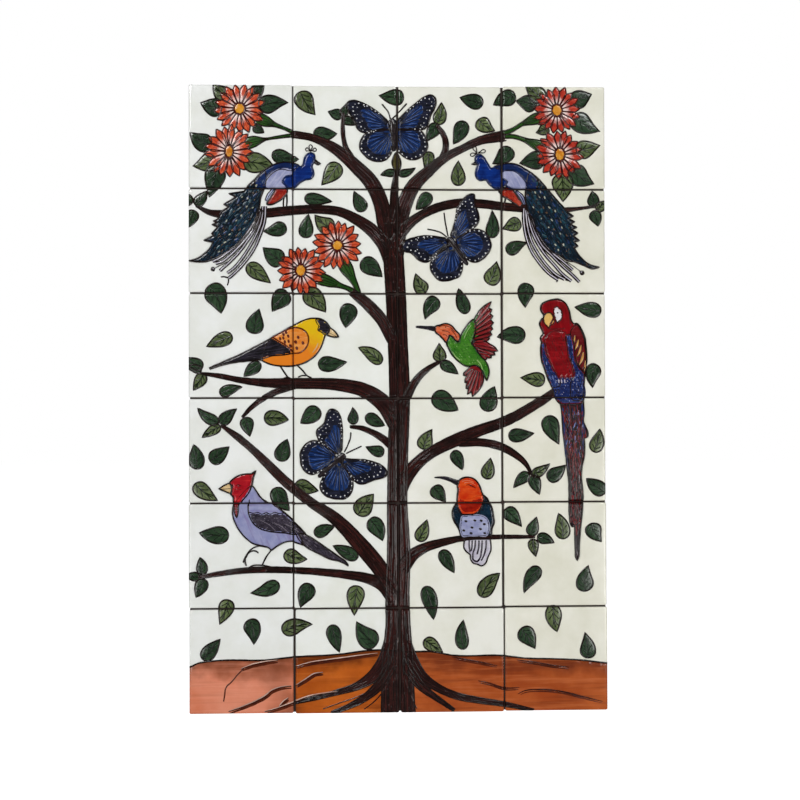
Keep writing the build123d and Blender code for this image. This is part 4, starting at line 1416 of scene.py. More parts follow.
def draw_yellow_bird():
    """The yellow bird with a black mask, on the limb of the third row."""
    for half, points in YELLOW_LEGS:
        stroke(points, half, "line", BIRD)
    shape(YELLOW_BODY, "yellow", BIRD, crown=0.6, edge=7.0, flow=directed((1.16, 2.26), (1.02, 2.66)))
    # painted highlight: a pale cream streak down the right of the breast
    mark([(1.235, 2.475), (1.215, 2.525), (1.18, 2.570)], 0.9, "cream", BIRD + 0.28)
    shape(YELLOW_TAIL, "bird_black", BIRD + 0.2, flow=directed((0.95, 2.53), (0.25, 2.70)))
    for start, end in YELLOW_QUILLS:
        mark([start, toward(start, end, 0.5), end], 0.8, "bird_grey", BIRD + 0.5)
    shape(YELLOW_PATCH, "orange", BIRD + 0.3, line="brown_line")
    for u, v in YELLOW_MARKS:
        mark([(u - 0.006, v - 0.018), (u + 0.006, v + 0.018)], 1.9, "brown_line", BIRD + 0.66)
    shape(YELLOW_MASK, "bird_black", BIRD + 0.3, half=1.0)
    shape(YELLOW_BEAK, "cream", BIRD + 0.1)
    mark([(1.33, 2.378), (1.37, 2.395), (1.41, 2.416)], 0.35, "line", BIRD + 0.4)
    dot(1.297, 2.325, 1.2, "bird_grey", BIRD + 0.55)
    dot(1.297, 2.325, 0.7, "line", BIRD + 0.75)


# ---- the flying hummingbird -----------------------------------------------------------------------
FLYER_BODY = [
    (2.478, 2.43), (2.489, 2.403), (2.513, 2.42), (2.548, 2.455), (2.576, 2.466), (2.592, 2.42),
    (2.611, 2.378), (2.646, 2.322), (2.681, 2.28), (2.723, 2.252), (2.737, 2.273), (2.741, 2.329),
    (2.730, 2.392), (2.716, 2.441), (2.702, 2.483), (2.730, 2.518), (2.765, 2.574), (2.80, 2.616),
    (2.828, 2.644), (2.853, 2.686), (2.867, 2.735), (2.863, 2.791), (2.846, 2.836, 1), (2.821, 2.791),
    (2.80, 2.742), (2.765, 2.707), (2.73, 2.692), (2.688, 2.70), (2.646, 2.697), (2.597, 2.672),
    (2.548, 2.63), (2.506, 2.581), (2.482, 2.532), (2.461, 2.483)]
FLYER_HEAD = [
    (2.35, 2.325), (2.401, 2.305), (2.436, 2.294), (2.471, 2.294), (2.513, 2.315), (2.548, 2.357),
    (2.583, 2.396), (2.592, 2.42), (2.571, 2.462), (2.541, 2.448), (2.513, 2.413), (2.489, 2.406),
    (2.478, 2.434), (2.457, 2.472), (2.429, 2.441), (2.394, 2.406), (2.352, 2.366)]
FLYER_WING = [
    (2.723, 2.252, 1), (2.751, 2.203), (2.793, 2.147), (2.835, 2.112), (2.890, 2.081, 1), (2.862, 2.14, 1),
    (2.898, 2.156, 1), (2.876, 2.195, 1), (2.907, 2.219, 1), (2.882, 2.252, 1), (2.914, 2.283, 1),
    (2.883, 2.308, 1), (2.905, 2.343, 1), (2.876, 2.366, 1), (2.897, 2.397, 1), (2.862, 2.415, 1),
    (2.876, 2.438, 1), (2.835, 2.448), (2.78, 2.443), (2.725, 2.465), (2.706, 2.487, 1), (2.73, 2.42),
    (2.741, 2.35), (2.737, 2.28)]
FLYER_WING_BACK = [
    (2.706, 2.483, 1), (2.751, 2.452), (2.835, 2.460), (2.877, 2.487), (2.926, 2.518), (2.953, 2.553, 1),
    (2.915, 2.560, 1), (2.926, 2.592, 1), (2.888, 2.590, 1), (2.890, 2.620, 1), (2.855, 2.607, 1),
    (2.842, 2.636, 1), (2.80, 2.616), (2.758, 2.56), (2.73, 2.518)]
FLYER_TAIL = [
    (2.688, 2.698, 1), (2.73, 2.688), (2.772, 2.707), (2.80, 2.749), (2.814, 2.805), (2.807, 2.861),
    (2.779, 2.917), (2.744, 2.959), (2.707, 2.986, 1), (2.700, 2.945, 1), (2.657, 2.966, 1),
    (2.680, 2.915, 1), (2.645, 2.912, 1), (2.672, 2.865, 1), (2.633, 2.853, 1), (2.664, 2.803, 1),
    (2.620, 2.786, 1), (2.655, 2.742)]


# a line between two roots, the feathers' tips and their half width
FLYER_FEATHERS = [
    ([(2.72, 2.50), (2.79, 2.60)],
     [(2.951, 2.553), (2.925, 2.592), (2.888, 2.619), (2.842, 2.634)], 0.018),
    ([(2.72, 2.30), (2.71, 2.47)],
     [(2.888, 2.083), (2.897, 2.158), (2.906, 2.221), (2.912, 2.284), (2.903, 2.343), (2.895, 2.396),
      (2.874, 2.438)], 0.019),
    ([(2.70, 2.71), (2.79, 2.75)],
     [(2.622, 2.784), (2.636, 2.851), (2.648, 2.910), (2.664, 2.963), (2.709, 2.984), (2.765, 2.93)], 0.018),
]
FLYER_TUFTS = [
    ((2.73, 2.31), (2.78, 2.25)), ((2.735, 2.36), (2.79, 2.33)), ((2.725, 2.42), (2.77, 2.40)),
    ((2.73, 2.265), (2.765, 2.20)),
]
# glaze, half width, height above the bird and points
FLYER_MARKS = [
    ("green_pale", 0.7, 0.5, [(2.515, 2.555), (2.545, 2.605), (2.59, 2.645)]),
    ("green_pale", 0.9, 0.52, [(2.745, 2.635), (2.785, 2.68), (2.805, 2.735)]),
    ("green_pale", 0.6, 0.5, [(2.70, 2.30), (2.655, 2.37), (2.625, 2.44)]),
]
FLYER_HEAD_MARKS = [
    ("brown_line", 0.7, 0.62, [(2.38, 2.325), (2.43, 2.312), (2.49, 2.325), (2.54, 2.375)]),
    ("brown_line", 0.7, 0.62, [(2.41, 2.36), (2.46, 2.365), (2.50, 2.385)]),
    ("brown_line", 0.7, 0.62, [(2.42, 2.395), (2.45, 2.40), (2.47, 2.42)]),
    ("brown_line", 0.7, 0.62, [(2.50, 2.345), (2.54, 2.395), (2.565, 2.44)]),
    ("coral_pale", 0.5, 0.6, [(2.395, 2.34), (2.44, 2.34), (2.485, 2.355)]),
]
FLYER_BILL = [(2.163, 2.322, 0.009), (2.25, 2.328, 0.018), (2.31, 2.336, 0.024), (2.372, 2.347, 0.028)]


def feathers(roots, tips, widest, top):
    """Separate feathers side by side, from along a line between two roots to their tips."""
    for k, tip in enumerate(tips):
        root = toward(roots[1], roots[0], k / (len(tips) - 1))
        middle = toward(tip, root, 0.6)
        height = top + 0.12 * (k % 2)
        route = [(*root, widest * 0.6), (*middle, widest), (*toward(tip, root, 0.9), widest * 0.8),
                 (*tip, widest * 0.25)]
        band(route, "maroon", height, half=0.7, across=7)
        quill = [toward(tip, root, 0.25), middle, toward(tip, root, 0.88)]
        mark(quill, 0.4, "maroon_pale", height + 0.25, dice.random())


def bird_marks(marks):
    """Raised lines on a bird, each given by its glaze, half width, height and points."""
    for glaze, half, height, points in marks:
        mark(points, half, glaze, BIRD + height)


def draw_flying_bird():
    """The green hummingbird in flight, with a coral throat and maroon wings."""
    shape(FLYER_WING_BACK, "maroon", BIRD - 0.1, half=1.0)
    feathers(*FLYER_FEATHERS[0], BIRD)
    shape(FLYER_WING, "maroon", BIRD, half=1.0)
    feathers(*FLYER_FEATHERS[1], BIRD + 0.12)
    shape(FLYER_TAIL, "maroon", BIRD - 0.1, half=1.0)
    feathers(*FLYER_FEATHERS[2], BIRD)
    shape(FLYER_BODY, "bird_green", BIRD + 0.35, crown=0.6, edge=6.0, half=1.15)
    for start, end in FLYER_TUFTS:
        taper([(*start, 0.016), (*end, 0.004)], "bird_green", BIRD + 0.45)
    bird_marks(FLYER_MARKS)
    scatter(FLYER_BODY, ((2.56, 2.46), (2.76, 2.70)), 4.6, ["leaf_dark", "leaf_dark", "vein", "green_pale"],
            BIRD + 0.5, (1.6, 4.0), (0.3, 0.5))
    shape(FLYER_HEAD, "coral", BIRD + 0.45, crown=0.5, edge=4.0)
    bird_marks(FLYER_HEAD_MARKS)
    dot(2.452, 2.326, 1.6, "line", BIRD + 0.85)
    taper(FLYER_BILL, "bird_black", BIRD + 0.5)


# ---- the macaw --------------------------------------------------------------------------------------
MACAW_TAIL = [
    (3.545, 3.035, 1), (3.560, 3.095), (3.57, 3.22), (3.581, 3.363), (3.603, 3.517), (3.614, 3.66),
    (3.629, 3.792), (3.633, 3.935), (3.633, 4.056), (3.636, 4.144), (3.647, 4.21), (3.664, 4.238),
    (3.687, 4.215, 1), (3.688, 4.32), (3.691, 4.452), (3.699, 4.54), (3.710, 4.560, 1), (3.721, 4.529),
    (3.727, 4.43), (3.735, 4.32), (3.746, 4.21), (3.757, 4.10), (3.765, 3.968), (3.76, 3.858),
    (3.749, 3.748), (3.757, 3.671), (3.779, 3.572), (3.785, 3.473), (3.779, 3.39, 1), (3.812, 3.378),
    (3.815, 3.335), (3.796, 3.286), (3.774, 3.235), (3.779, 3.154), (3.774, 3.035, 1)]
MACAW_BODY = [
    (3.366, 2.136), (3.381, 2.103), (3.425, 2.077), (3.483, 2.062), (3.527, 2.057), (3.571, 2.07),
    (3.608, 2.099), (3.63, 2.139), (3.645, 2.183), (3.652, 2.227), (3.665, 2.27), (3.689, 2.293),
    (3.711, 2.29), (3.74, 2.315), (3.769, 2.367), (3.791, 2.425), (3.802, 2.513), (3.808, 2.623),
    (3.802, 2.704), (3.79, 2.792), (3.78, 2.88), (3.777, 2.98), (3.765, 3.05), (3.65, 3.07), (3.55, 3.06),
    (3.50, 3.0), (3.478, 2.913), (3.45, 2.858), (3.425, 2.799), (3.403, 2.733), (3.377, 2.66),
    (3.367, 2.601), (3.366, 2.528), (3.373, 2.469, 1), (3.362, 2.433), (3.392, 2.389, 1), (3.381, 2.359),
    (3.366, 2.33), (3.355, 2.293), (3.37, 2.257), (3.400, 2.232, 1), (3.393, 2.205), (3.373, 2.176)]
MACAW_BREAST = [
    (3.40, 2.45), (3.45, 2.38), (3.53, 2.36), (3.60, 2.38), (3.613, 2.45), (3.617, 2.53), (3.632, 2.61),
    (3.66, 2.69), (3.678, 2.76), (3.680, 2.81, 1), (3.66, 2.79, 1), (3.645, 2.825, 1), (3.62, 2.795, 1),
    (3.60, 2.83, 1), (3.575, 2.80, 1), (3.55, 2.835, 1), (3.53, 2.80), (3.49, 2.74), (3.45, 2.65),
    (3.415, 2.55)]
MACAW_FLANK = [
    (3.375, 2.475), (3.402, 2.48), (3.412, 2.55), (3.443, 2.635), (3.478, 2.715), (3.52, 2.785),
    (3.545, 2.825), (3.549, 2.885), (3.50, 2.905), (3.478, 2.905), (3.45, 2.855), (3.425, 2.795),
    (3.403, 2.73), (3.379, 2.66), (3.370, 2.60), (3.369, 2.53)]
MACAW_WING = [
    (3.617, 2.40), (3.645, 2.395), (3.672, 2.45), (3.690, 2.55), (3.702, 2.66), (3.73, 2.71), (3.769, 2.755),
    (3.786, 2.806), (3.777, 2.88), (3.772, 2.98), (3.73, 3.03), (3.66, 3.02), (3.648, 2.93), (3.655, 2.84),
    (3.682, 2.80), (3.677, 2.74), (3.655, 2.67), (3.630, 2.60), (3.617, 2.51)]
MACAW_SHOULDER = [
    (3.66, 2.35), (3.69, 2.310), (3.715, 2.305), (3.745, 2.345), (3.775, 2.41), (3.790, 2.51), (3.798, 2.62),
    (3.792, 2.70), (3.772, 2.745), (3.73, 2.70), (3.708, 2.66), (3.692, 2.55), (3.678, 2.45), (3.652, 2.39)]
MACAW_BARS = [
    [(3.695, 2.400, 0.008), (3.690, 2.445, 0.014), (3.676, 2.490, 0.004)],
    [(3.728, 2.440, 0.009), (3.716, 2.495, 0.017), (3.690, 2.555, 0.005)],
    [(3.756, 2.490, 0.009), (3.740, 2.555, 0.018), (3.708, 2.620, 0.005)],
    [(3.776, 2.560, 0.010), (3.762, 2.630, 0.021), (3.728, 2.700, 0.006)],
    [(3.792, 2.640, 0.008), (3.792, 2.695, 0.014), (3.778, 2.760, 0.005)],
]
MACAW_BILL = [
    (3.445, 2.184), (3.405, 2.204), (3.390, 2.245), (3.404, 2.292), (3.443, 2.336, 1), (3.462, 2.292),
    (3.484, 2.250), (3.480, 2.208)]
MACAW_CHIN = [(3.457, 2.310, 1), (3.470, 2.275), (3.485, 2.253), (3.500, 2.270), (3.490, 2.295)]
MACAW_FACE = [
    (3.492, 2.150), (3.515, 2.128), (3.547, 2.146), (3.572, 2.196), (3.566, 2.245), (3.524, 2.288, 1),
    (3.504, 2.245), (3.492, 2.200)]


MACAW_BELLY = [
    (3.475, 2.88), (3.55, 2.80), (3.60, 2.80), (3.68, 2.80), (3.77, 2.85), (3.775, 3.04), (3.66, 3.065),
    (3.555, 3.055), (3.50, 2.995)]
MACAW_QUILLS = [
    ((3.60, 3.12), (3.655, 4.15)), ((3.65, 3.08), (3.70, 4.20)), ((3.70, 3.05), (3.715, 4.48)),
    ((3.74, 3.08), (3.745, 4.05)),
]
MACAW_TAIL_EDGES = [
    [(3.575, 3.10, 0.012), (3.592, 3.40, 0.014), (3.622, 3.72, 0.006)],
    [(3.762, 3.06, 0.012), (3.768, 3.30, 0.012), (3.765, 3.52, 0.006)],
]
MACAW_FOLDS = [
    [(3.39, 2.24), (3.385, 2.30), (3.40, 2.36)], [(3.64, 2.20), (3.645, 2.27), (3.66, 2.32)],
    [(3.42, 2.34), (3.50, 2.345), (3.60, 2.34)],
]


def draw_macaw_tail():
    """The macaw's long tail: a dark pool under feathers of several colours."""
    shape(MACAW_TAIL, "tail_dark", BIRD - 0.05, crown=0.5, edge=5.0, flow=directed((3.65, 3.0), (3.71, 4.5)))
    for start, end in MACAW_QUILLS:
        middle = toward(start, end, 0.5)
        mark([start, (middle[0] + 0.01, middle[1]), end], 0.9, "line", BIRD + 0.55)
    plain = [p for p in MACAW_TAIL if p[1] > 3.06]
    scatter(plain, ((3.65, 3.0), (3.70, 4.5)), 5.0, ["crimson", "crimson_dull", "crimson_dull", "line"],
            BIRD + 0.36, (9.0, 20.0), (0.8, 1.4))
    upper = [p for p in plain if p[1] < 3.60]
    scatter(upper, ((3.65, 3.0), (3.68, 3.6)), 5.2, ["macaw_blue", "macaw_blue", "crimson", "blue_pale"],
            BIRD + 0.46, (4.0, 10.0), (0.5, 0.9))
    for route in MACAW_TAIL_EDGES:
        taper(route, "macaw_blue", BIRD + 0.26, base=BIRD - 0.4)
    scatter(plain, ((3.65, 3.0), (3.71, 4.5)), 5.0, ["line", "line", "line", "crimson", "tail_pale"],
            BIRD + 0.58, (3.0, 8.0), (0.4, 0.7))


def draw_macaw():
    """The scarlet macaw with its long tail hanging past the limb."""
    draw_macaw_tail()
    shape(MACAW_BODY, "crimson", BIRD + 0.1, crown=0.6, edge=6.0, flow=directed((3.50, 2.06), (3.60, 3.0)))
    shape(MACAW_BELLY, "macaw_blue", BIRD + 0.22, line=None)
    shape(MACAW_FLANK, "macaw_blue", BIRD + 0.25, half=1.0)
    shape(MACAW_WING, "macaw_blue", BIRD + 0.3, half=1.0)
    shape(MACAW_SHOULDER, "crimson_dull", BIRD + 0.35, half=1.0)
    for bar in MACAW_BARS:
        band(bar, "ochre", BIRD + 0.6, half=0.7, across=7)
    shape(MACAW_BREAST, "crimson", BIRD + 0.4, line="crimson_dull", half=0.9, crown=0.5, edge=7.0)
    scatter(MACAW_BREAST, ((3.50, 2.38), (3.62, 2.80)), 6.0, ["crimson_dull", "crimson_dull", "line"],
            BIRD + 0.5, (3.0, 7.0), (0.35, 0.6))
    scatter(MACAW_BELLY, ((3.55, 2.85), (3.60, 3.05)), 3.8, ["plume", "line", "line", "blue_pale"],
            BIRD + 0.45)
    scatter(MACAW_FLANK, ((3.38, 2.5), (3.50, 2.88)), 4.0, ["blue_pale", "line", "line"], BIRD + 0.5, (3, 6))
    scatter(MACAW_WING, ((3.64, 2.42), (3.74, 3.0)), 4.2, ["blue_pale", "line", "line"], BIRD + 0.55, (3, 7))
    for u in (3.535, 3.562, 3.592):
        mark([(u, 2.825), (u + 0.004, 2.865)], 0.9, "plume", BIRD + 0.6)
    for points in MACAW_FOLDS:
        mark(points, 0.7, "crimson_dull", BIRD + 0.45)
    shape(MACAW_FACE, "white_patch", BIRD + 0.45, half=0.95)
    shape(MACAW_BILL, "bill", BIRD + 0.6, half=1.0, crown=0.6)
    shape(MACAW_CHIN, "bill", BIRD + 0.5, half=0.8)
    dot(3.528, 2.188, 2.1, "line", BIRD + 0.95)
    # painted glint: a small white dot up and to the left in the black eye
    dot(3.525, 2.184, 0.5, "spot", BIRD + 1.1)
    for u in (3.50, 3.53):
        mark([(u, 2.915), (u + 0.01, 2.945), (u, 2.965)], 0.9, "line", BIRD + 0.5)


# ---- the red-headed bird ------------------------------------------------------------------------------
RED_BODY = [
    (0.605, 3.835), (0.646, 3.884), (0.682, 3.938), (0.709, 3.965), (0.763, 3.9965), (0.83, 4.03),
    (0.90, 4.08), (0.98, 4.15), (1.04, 4.24), (1.07, 4.33), (1.10, 4.40, 1), (1.033, 4.380), (0.99, 4.363),
    (0.916, 4.370), (0.844, 4.406), (0.79, 4.4465, 1), (0.754, 4.418), (0.70, 4.404), (0.61, 4.379),
    (0.556, 4.3385), (0.502, 4.28), (0.457, 4.208), (0.4255, 4.127), (0.421, 4.09), (0.432, 4.02),
    (0.47, 3.96), (0.54, 3.88)]
RED_HEAD = [
    (0.394, 3.812), (0.43, 3.767), (0.484, 3.7355), (0.547, 3.722), (0.6055, 3.7175), (0.640, 3.692, 1),
    (0.619, 3.749), (0.61, 3.803), (0.601, 3.839), (0.5785, 3.893), (0.547, 3.938), (0.5065, 3.983),
    (0.4795, 4.019), (0.475, 4.082), (0.459, 4.1315), (0.4435, 4.10), (0.4345, 4.046), (0.43, 3.983),
    (0.4255, 3.938), (0.403, 3.911), (0.412, 3.875), (0.4165, 3.83)]
RED_BIB = [(0.432, 4.00), (0.50, 3.995), (0.4795, 4.03), (0.475, 4.082), (0.459, 4.1315), (0.4435, 4.10),
           (0.4345, 4.046)]
RED_BEAK = [
    (0.293, 3.8615, 1), (0.34, 3.83), (0.400, 3.813), (0.413, 3.86), (0.412, 3.911, 1), (0.358, 3.8885)]
RED_WING = [
    (0.580, 4.00), (0.60, 3.995), (0.68, 3.998), (0.763, 4.003), (0.808, 4.0085), (0.871, 4.058),
    (0.934, 4.110), (1.015, 4.19), (1.06, 4.235), (1.114, 4.292, 1), (1.05, 4.292), (0.997, 4.298),
    (0.934, 4.2845), (0.835, 4.2755), (0.745, 4.262), (0.673, 4.235), (0.619, 4.19), (0.583, 4.127),
    (0.5695, 4.064)]
RED_FEATHERS = [
    (0.578, 4.085), (0.62, 4.094), (0.66, 4.086), (0.70, 4.103), (0.74, 4.088), (0.78, 4.103), (0.82, 4.086),
    (0.86, 4.096), (0.905, 4.094), (0.95, 4.128), (1.015, 4.19), (1.06, 4.235), (1.114, 4.292, 1),
    (1.05, 4.292), (0.997, 4.298), (0.934, 4.2845), (0.835, 4.2755), (0.745, 4.262), (0.673, 4.235),
    (0.619, 4.19), (0.588, 4.137)]
RED_TAIL = [
    (0.997, 4.185), (1.06, 4.250), (1.114, 4.300), (1.159, 4.325), (1.24, 4.379), (1.33, 4.442),
    (1.42, 4.505), (1.501, 4.568), (1.518, 4.598, 1), (1.447, 4.559), (1.33, 4.5275), (1.249, 4.487),
    (1.177, 4.451), (1.105, 4.406), (1.06, 4.361), (1.033, 4.316), (1.015, 4.28)]

RED_LEGS = [
    [(0.79, 4.44), (0.74, 4.51), (0.70, 4.59)],
    [(0.5605, 4.6175), (0.61, 4.592), (0.70, 4.588), (0.79, 4.606)],
    [(0.754, 4.418), (0.664, 4.406), (0.601, 4.433), (0.556, 4.487), (0.529, 4.541), (0.52, 4.566)],
    [(0.545, 4.50), (0.540, 4.55), (0.5515, 4.597)],
    [(0.547, 4.52), (0.574, 4.469), (0.61, 4.451), (0.646, 4.4555), (0.669, 4.475)],
]


def draw_red_bird():
    """The red-headed bird with a lilac body, on the lowest left limb."""
    for points in RED_LEGS:
        stroke(points, 1.2, "line", BIRD)
    shape(RED_TAIL, "bird_grey", BIRD, flow=directed((1.0, 4.22), (1.5, 4.58)))
    scatter(RED_TAIL, ((1.0, 4.22), (1.5, 4.58)), 4.0, ["line", "bird_black", "dove_pale"],
            BIRD + 0.35, (3, 6), (0.3, 0.5))
    shape(RED_BODY, "lilac_body", BIRD + 0.1, crown=0.6, edge=7.0, flow=directed((0.60, 3.9), (0.80, 4.40)))
    shape(RED_WING, "lilac_body", BIRD + 0.35)
    shape(RED_FEATHERS, "bird_grey", BIRD + 0.45, half=1.0)
    scatter(RED_FEATHERS, ((0.60, 4.12), (1.05, 4.28)), 3.6, ["line", "line", "dove_pale"],
            BIRD + 0.7, (1.6, 2.8), (0.35, 0.6))
    for k in range(6):
        u = 0.70 + 0.055 * k
        quill = [(u, 4.165 + 0.008 * k), (u + 0.07, 4.205 + 0.006 * k), (u + 0.13, 4.262 + 0.003 * k)]
        mark(quill, 0.5, "bird_black" if k % 2 else "dove_pale", BIRD + 0.75)
    mark([(0.583, 3.96), (0.575, 4.01), (0.5695, 4.064)], 0.85, "line", BIRD + 0.6)
    shape(RED_HEAD, "scarlet", BIRD + 0.4, crown=0.5, edge=5.0)
    shape(RED_BIB, "maroon", BIRD + 0.55, line=None)
    shape(RED_BEAK, "cream", BIRD + 0.35)
    mark([(0.30, 3.862), (0.36, 3.862), (0.408, 3.858)], 0.5, "line", BIRD + 0.7)
    mark([(0.45, 3.83), (0.478, 3.822), (0.505, 3.838)], 0.5, "line", BIRD + 0.72)
    dot(0.478, 3.838, 1.7, "line", BIRD + 0.8)
    # painted glint: a small white dot up and to the left in the black eye
    dot(0.475, 3.835, 0.5, "spot", BIRD + 0.95)
    mark([(0.44, 3.868), (0.475, 3.862), (0.51, 3.872)], 0.5, "maroon", BIRD + 0.7)
    mark([(0.58, 3.735), (0.60, 3.76), (0.595, 3.80)], 0.5, "maroon", BIRD + 0.65)


# ---- the perched hummingbird ----------------------------------------------------------------------------
PERCHED_BODY = [
    (2.561, 4.007), (2.528, 4.046), (2.512, 4.085), (2.512, 4.124), (2.531, 4.183), (2.561, 4.235),
    (2.58, 4.274), (2.593, 4.322, 1), (2.887, 4.322, 1), (2.890, 4.255), (2.91, 4.203), (2.903, 4.124),
    (2.894, 4.065), (2.867, 4.007), (2.841, 3.961), (2.809, 3.935), (2.70, 3.96)]
PERCHED_HEAD = [
    (2.577, 3.791), (2.606, 3.772), (2.652, 3.761), (2.698, 3.767), (2.737, 3.791), (2.763, 3.824),
    (2.783, 3.87), (2.796, 3.909), (2.812, 3.945), (2.812, 3.987), (2.796, 4.033), (2.77, 4.079),
    (2.73, 4.111), (2.672, 4.118), (2.613, 4.118), (2.58, 4.085), (2.561, 4.039), (2.557, 3.987),
    (2.561, 3.928), (2.567, 3.876), (2.561, 3.847)]
PERCHED_COLLAR = [
    (2.572, 3.965), (2.64, 3.975), (2.72, 3.97), (2.80, 3.955), (2.803, 4.01), (2.775, 4.06), (2.72, 4.098),
    (2.62, 4.098), (2.583, 4.06), (2.568, 4.00)]
PERCHED_BREAST = [
    (2.60, 4.135), (2.646, 4.126), (2.698, 4.120), (2.763, 4.120), (2.815, 4.134), (2.848, 4.163),
    (2.864, 4.209), (2.861, 4.268), (2.841, 4.318), (2.763, 4.321), (2.68, 4.321), (2.606, 4.321),
    (2.59, 4.281), (2.584, 4.222), (2.59, 4.176)]
PERCHED_TAIL = [
    (2.626, 4.352, 1), (2.626, 4.444), (2.652, 4.477), (2.678, 4.496), (2.688, 4.549), (2.711, 4.581),
    (2.75, 4.591), (2.789, 4.607), (2.828, 4.581), (2.848, 4.529), (2.877, 4.464), (2.879, 4.405),
    (2.872, 4.352, 1), (2.75, 4.350)]
PERCHED_DOTS = [
    (2.64, 4.18), (2.726, 4.173), (2.786, 4.175), (2.817, 4.209), (2.698, 4.24), (2.779, 4.255),
    (2.619, 4.268), (2.69, 4.295), (2.82, 4.295)]
PERCHED_PLUMES = [
    [(2.672, 4.36), (2.672, 4.42), (2.680, 4.48)],
    [(2.732, 4.36), (2.726, 4.43), (2.706, 4.50), (2.712, 4.55), (2.745, 4.565), (2.775, 4.53),
     (2.789, 4.46), (2.796, 4.36)],
    [(2.835, 4.36), (2.830, 4.44), (2.810, 4.51), (2.785, 4.56)],
    [(2.70, 4.36), (2.698, 4.42), (2.69, 4.47)],
    [(2.765, 4.36), (2.762, 4.43), (2.745, 4.50)]]
PERCHED_BILL = [
    (2.337, 3.762, 0.006), (2.41, 3.764, 0.014), (2.476, 3.778, 0.021), (2.53, 3.800, 0.023),
    (2.585, 3.822, 0.026)]
PERCHED_BROW = [(2.635, 3.838, 0.004), (2.665, 3.833, 0.014), (2.71, 3.85, 0.014), (2.745, 3.868, 0.004)]


def draw_perched_bird():
    """The hummingbird seen from behind on the lowest right limb."""
    shape(PERCHED_TAIL, "plume", BIRD - 0.3)
    for points in PERCHED_PLUMES:
        mark(points, 1.35, "tail_line", BIRD + 0.1)
    shape(PERCHED_BODY, "night", BIRD, crown=0.5, edge=5.0)
    scatter(PERCHED_BODY, ((2.80, 3.95), (2.88, 4.3)), 4.6, ["line", "train_teal"], BIRD + 0.25,
            (3, 6), (0.3, 0.5))
    shape(PERCHED_BREAST, "lilac", BIRD + 0.35, line="lilac_rim", half=0.9, crown=0.5, edge=5.0)
    for u, v in PERCHED_DOTS:
        mark([(u - 0.016, v - 0.004), (u + 0.016, v + 0.004)], 1.6, "line", BIRD + 0.8)
    shape(PERCHED_HEAD, "coral_red", BIRD + 0.4, crown=0.6, edge=6.0)
    shape(PERCHED_COLLAR, "head_shade", BIRD + 0.5, line=None)
    taper(PERCHED_BILL, "bird_black", BIRD + 0.5)
    taper(PERCHED_BROW, "brown_line", BIRD + 0.62)
    dot(2.685, 3.842, 1.4, "line", BIRD + 0.85)
    for points in ([(2.60, 3.80), (2.66, 3.79), (2.72, 3.81)], [(2.62, 3.815), (2.68, 3.808), (2.74, 3.84)]):
        mark(points, 0.45, "coral_pale", BIRD + 0.58)


def draw_creatures():
    """Every bird and butterfly."""
    for parts in BUTTERFLIES:
        butterfly(*parts)
    for parts in (PEACOCK_LEFT, PEACOCK_RIGHT):
        peacock(parts)
    draw_yellow_bird()
    draw_flying_bird()
    draw_macaw()
    draw_red_bird()
    draw_perched_bird()


# ---- materials ----------------------------------------------------------------------------------
def linear(red, green, blue):
    """A colour given from 0 to 255 as it looks on a screen, as the shader wants it."""
    done = []
    for value in (red, green, blue):
        part = value / 255
        done.append(part / 12.92 if part <= 0.04045 else ((part + 0.055) / 1.055) ** 2.4)
    return (*done, 1.0)


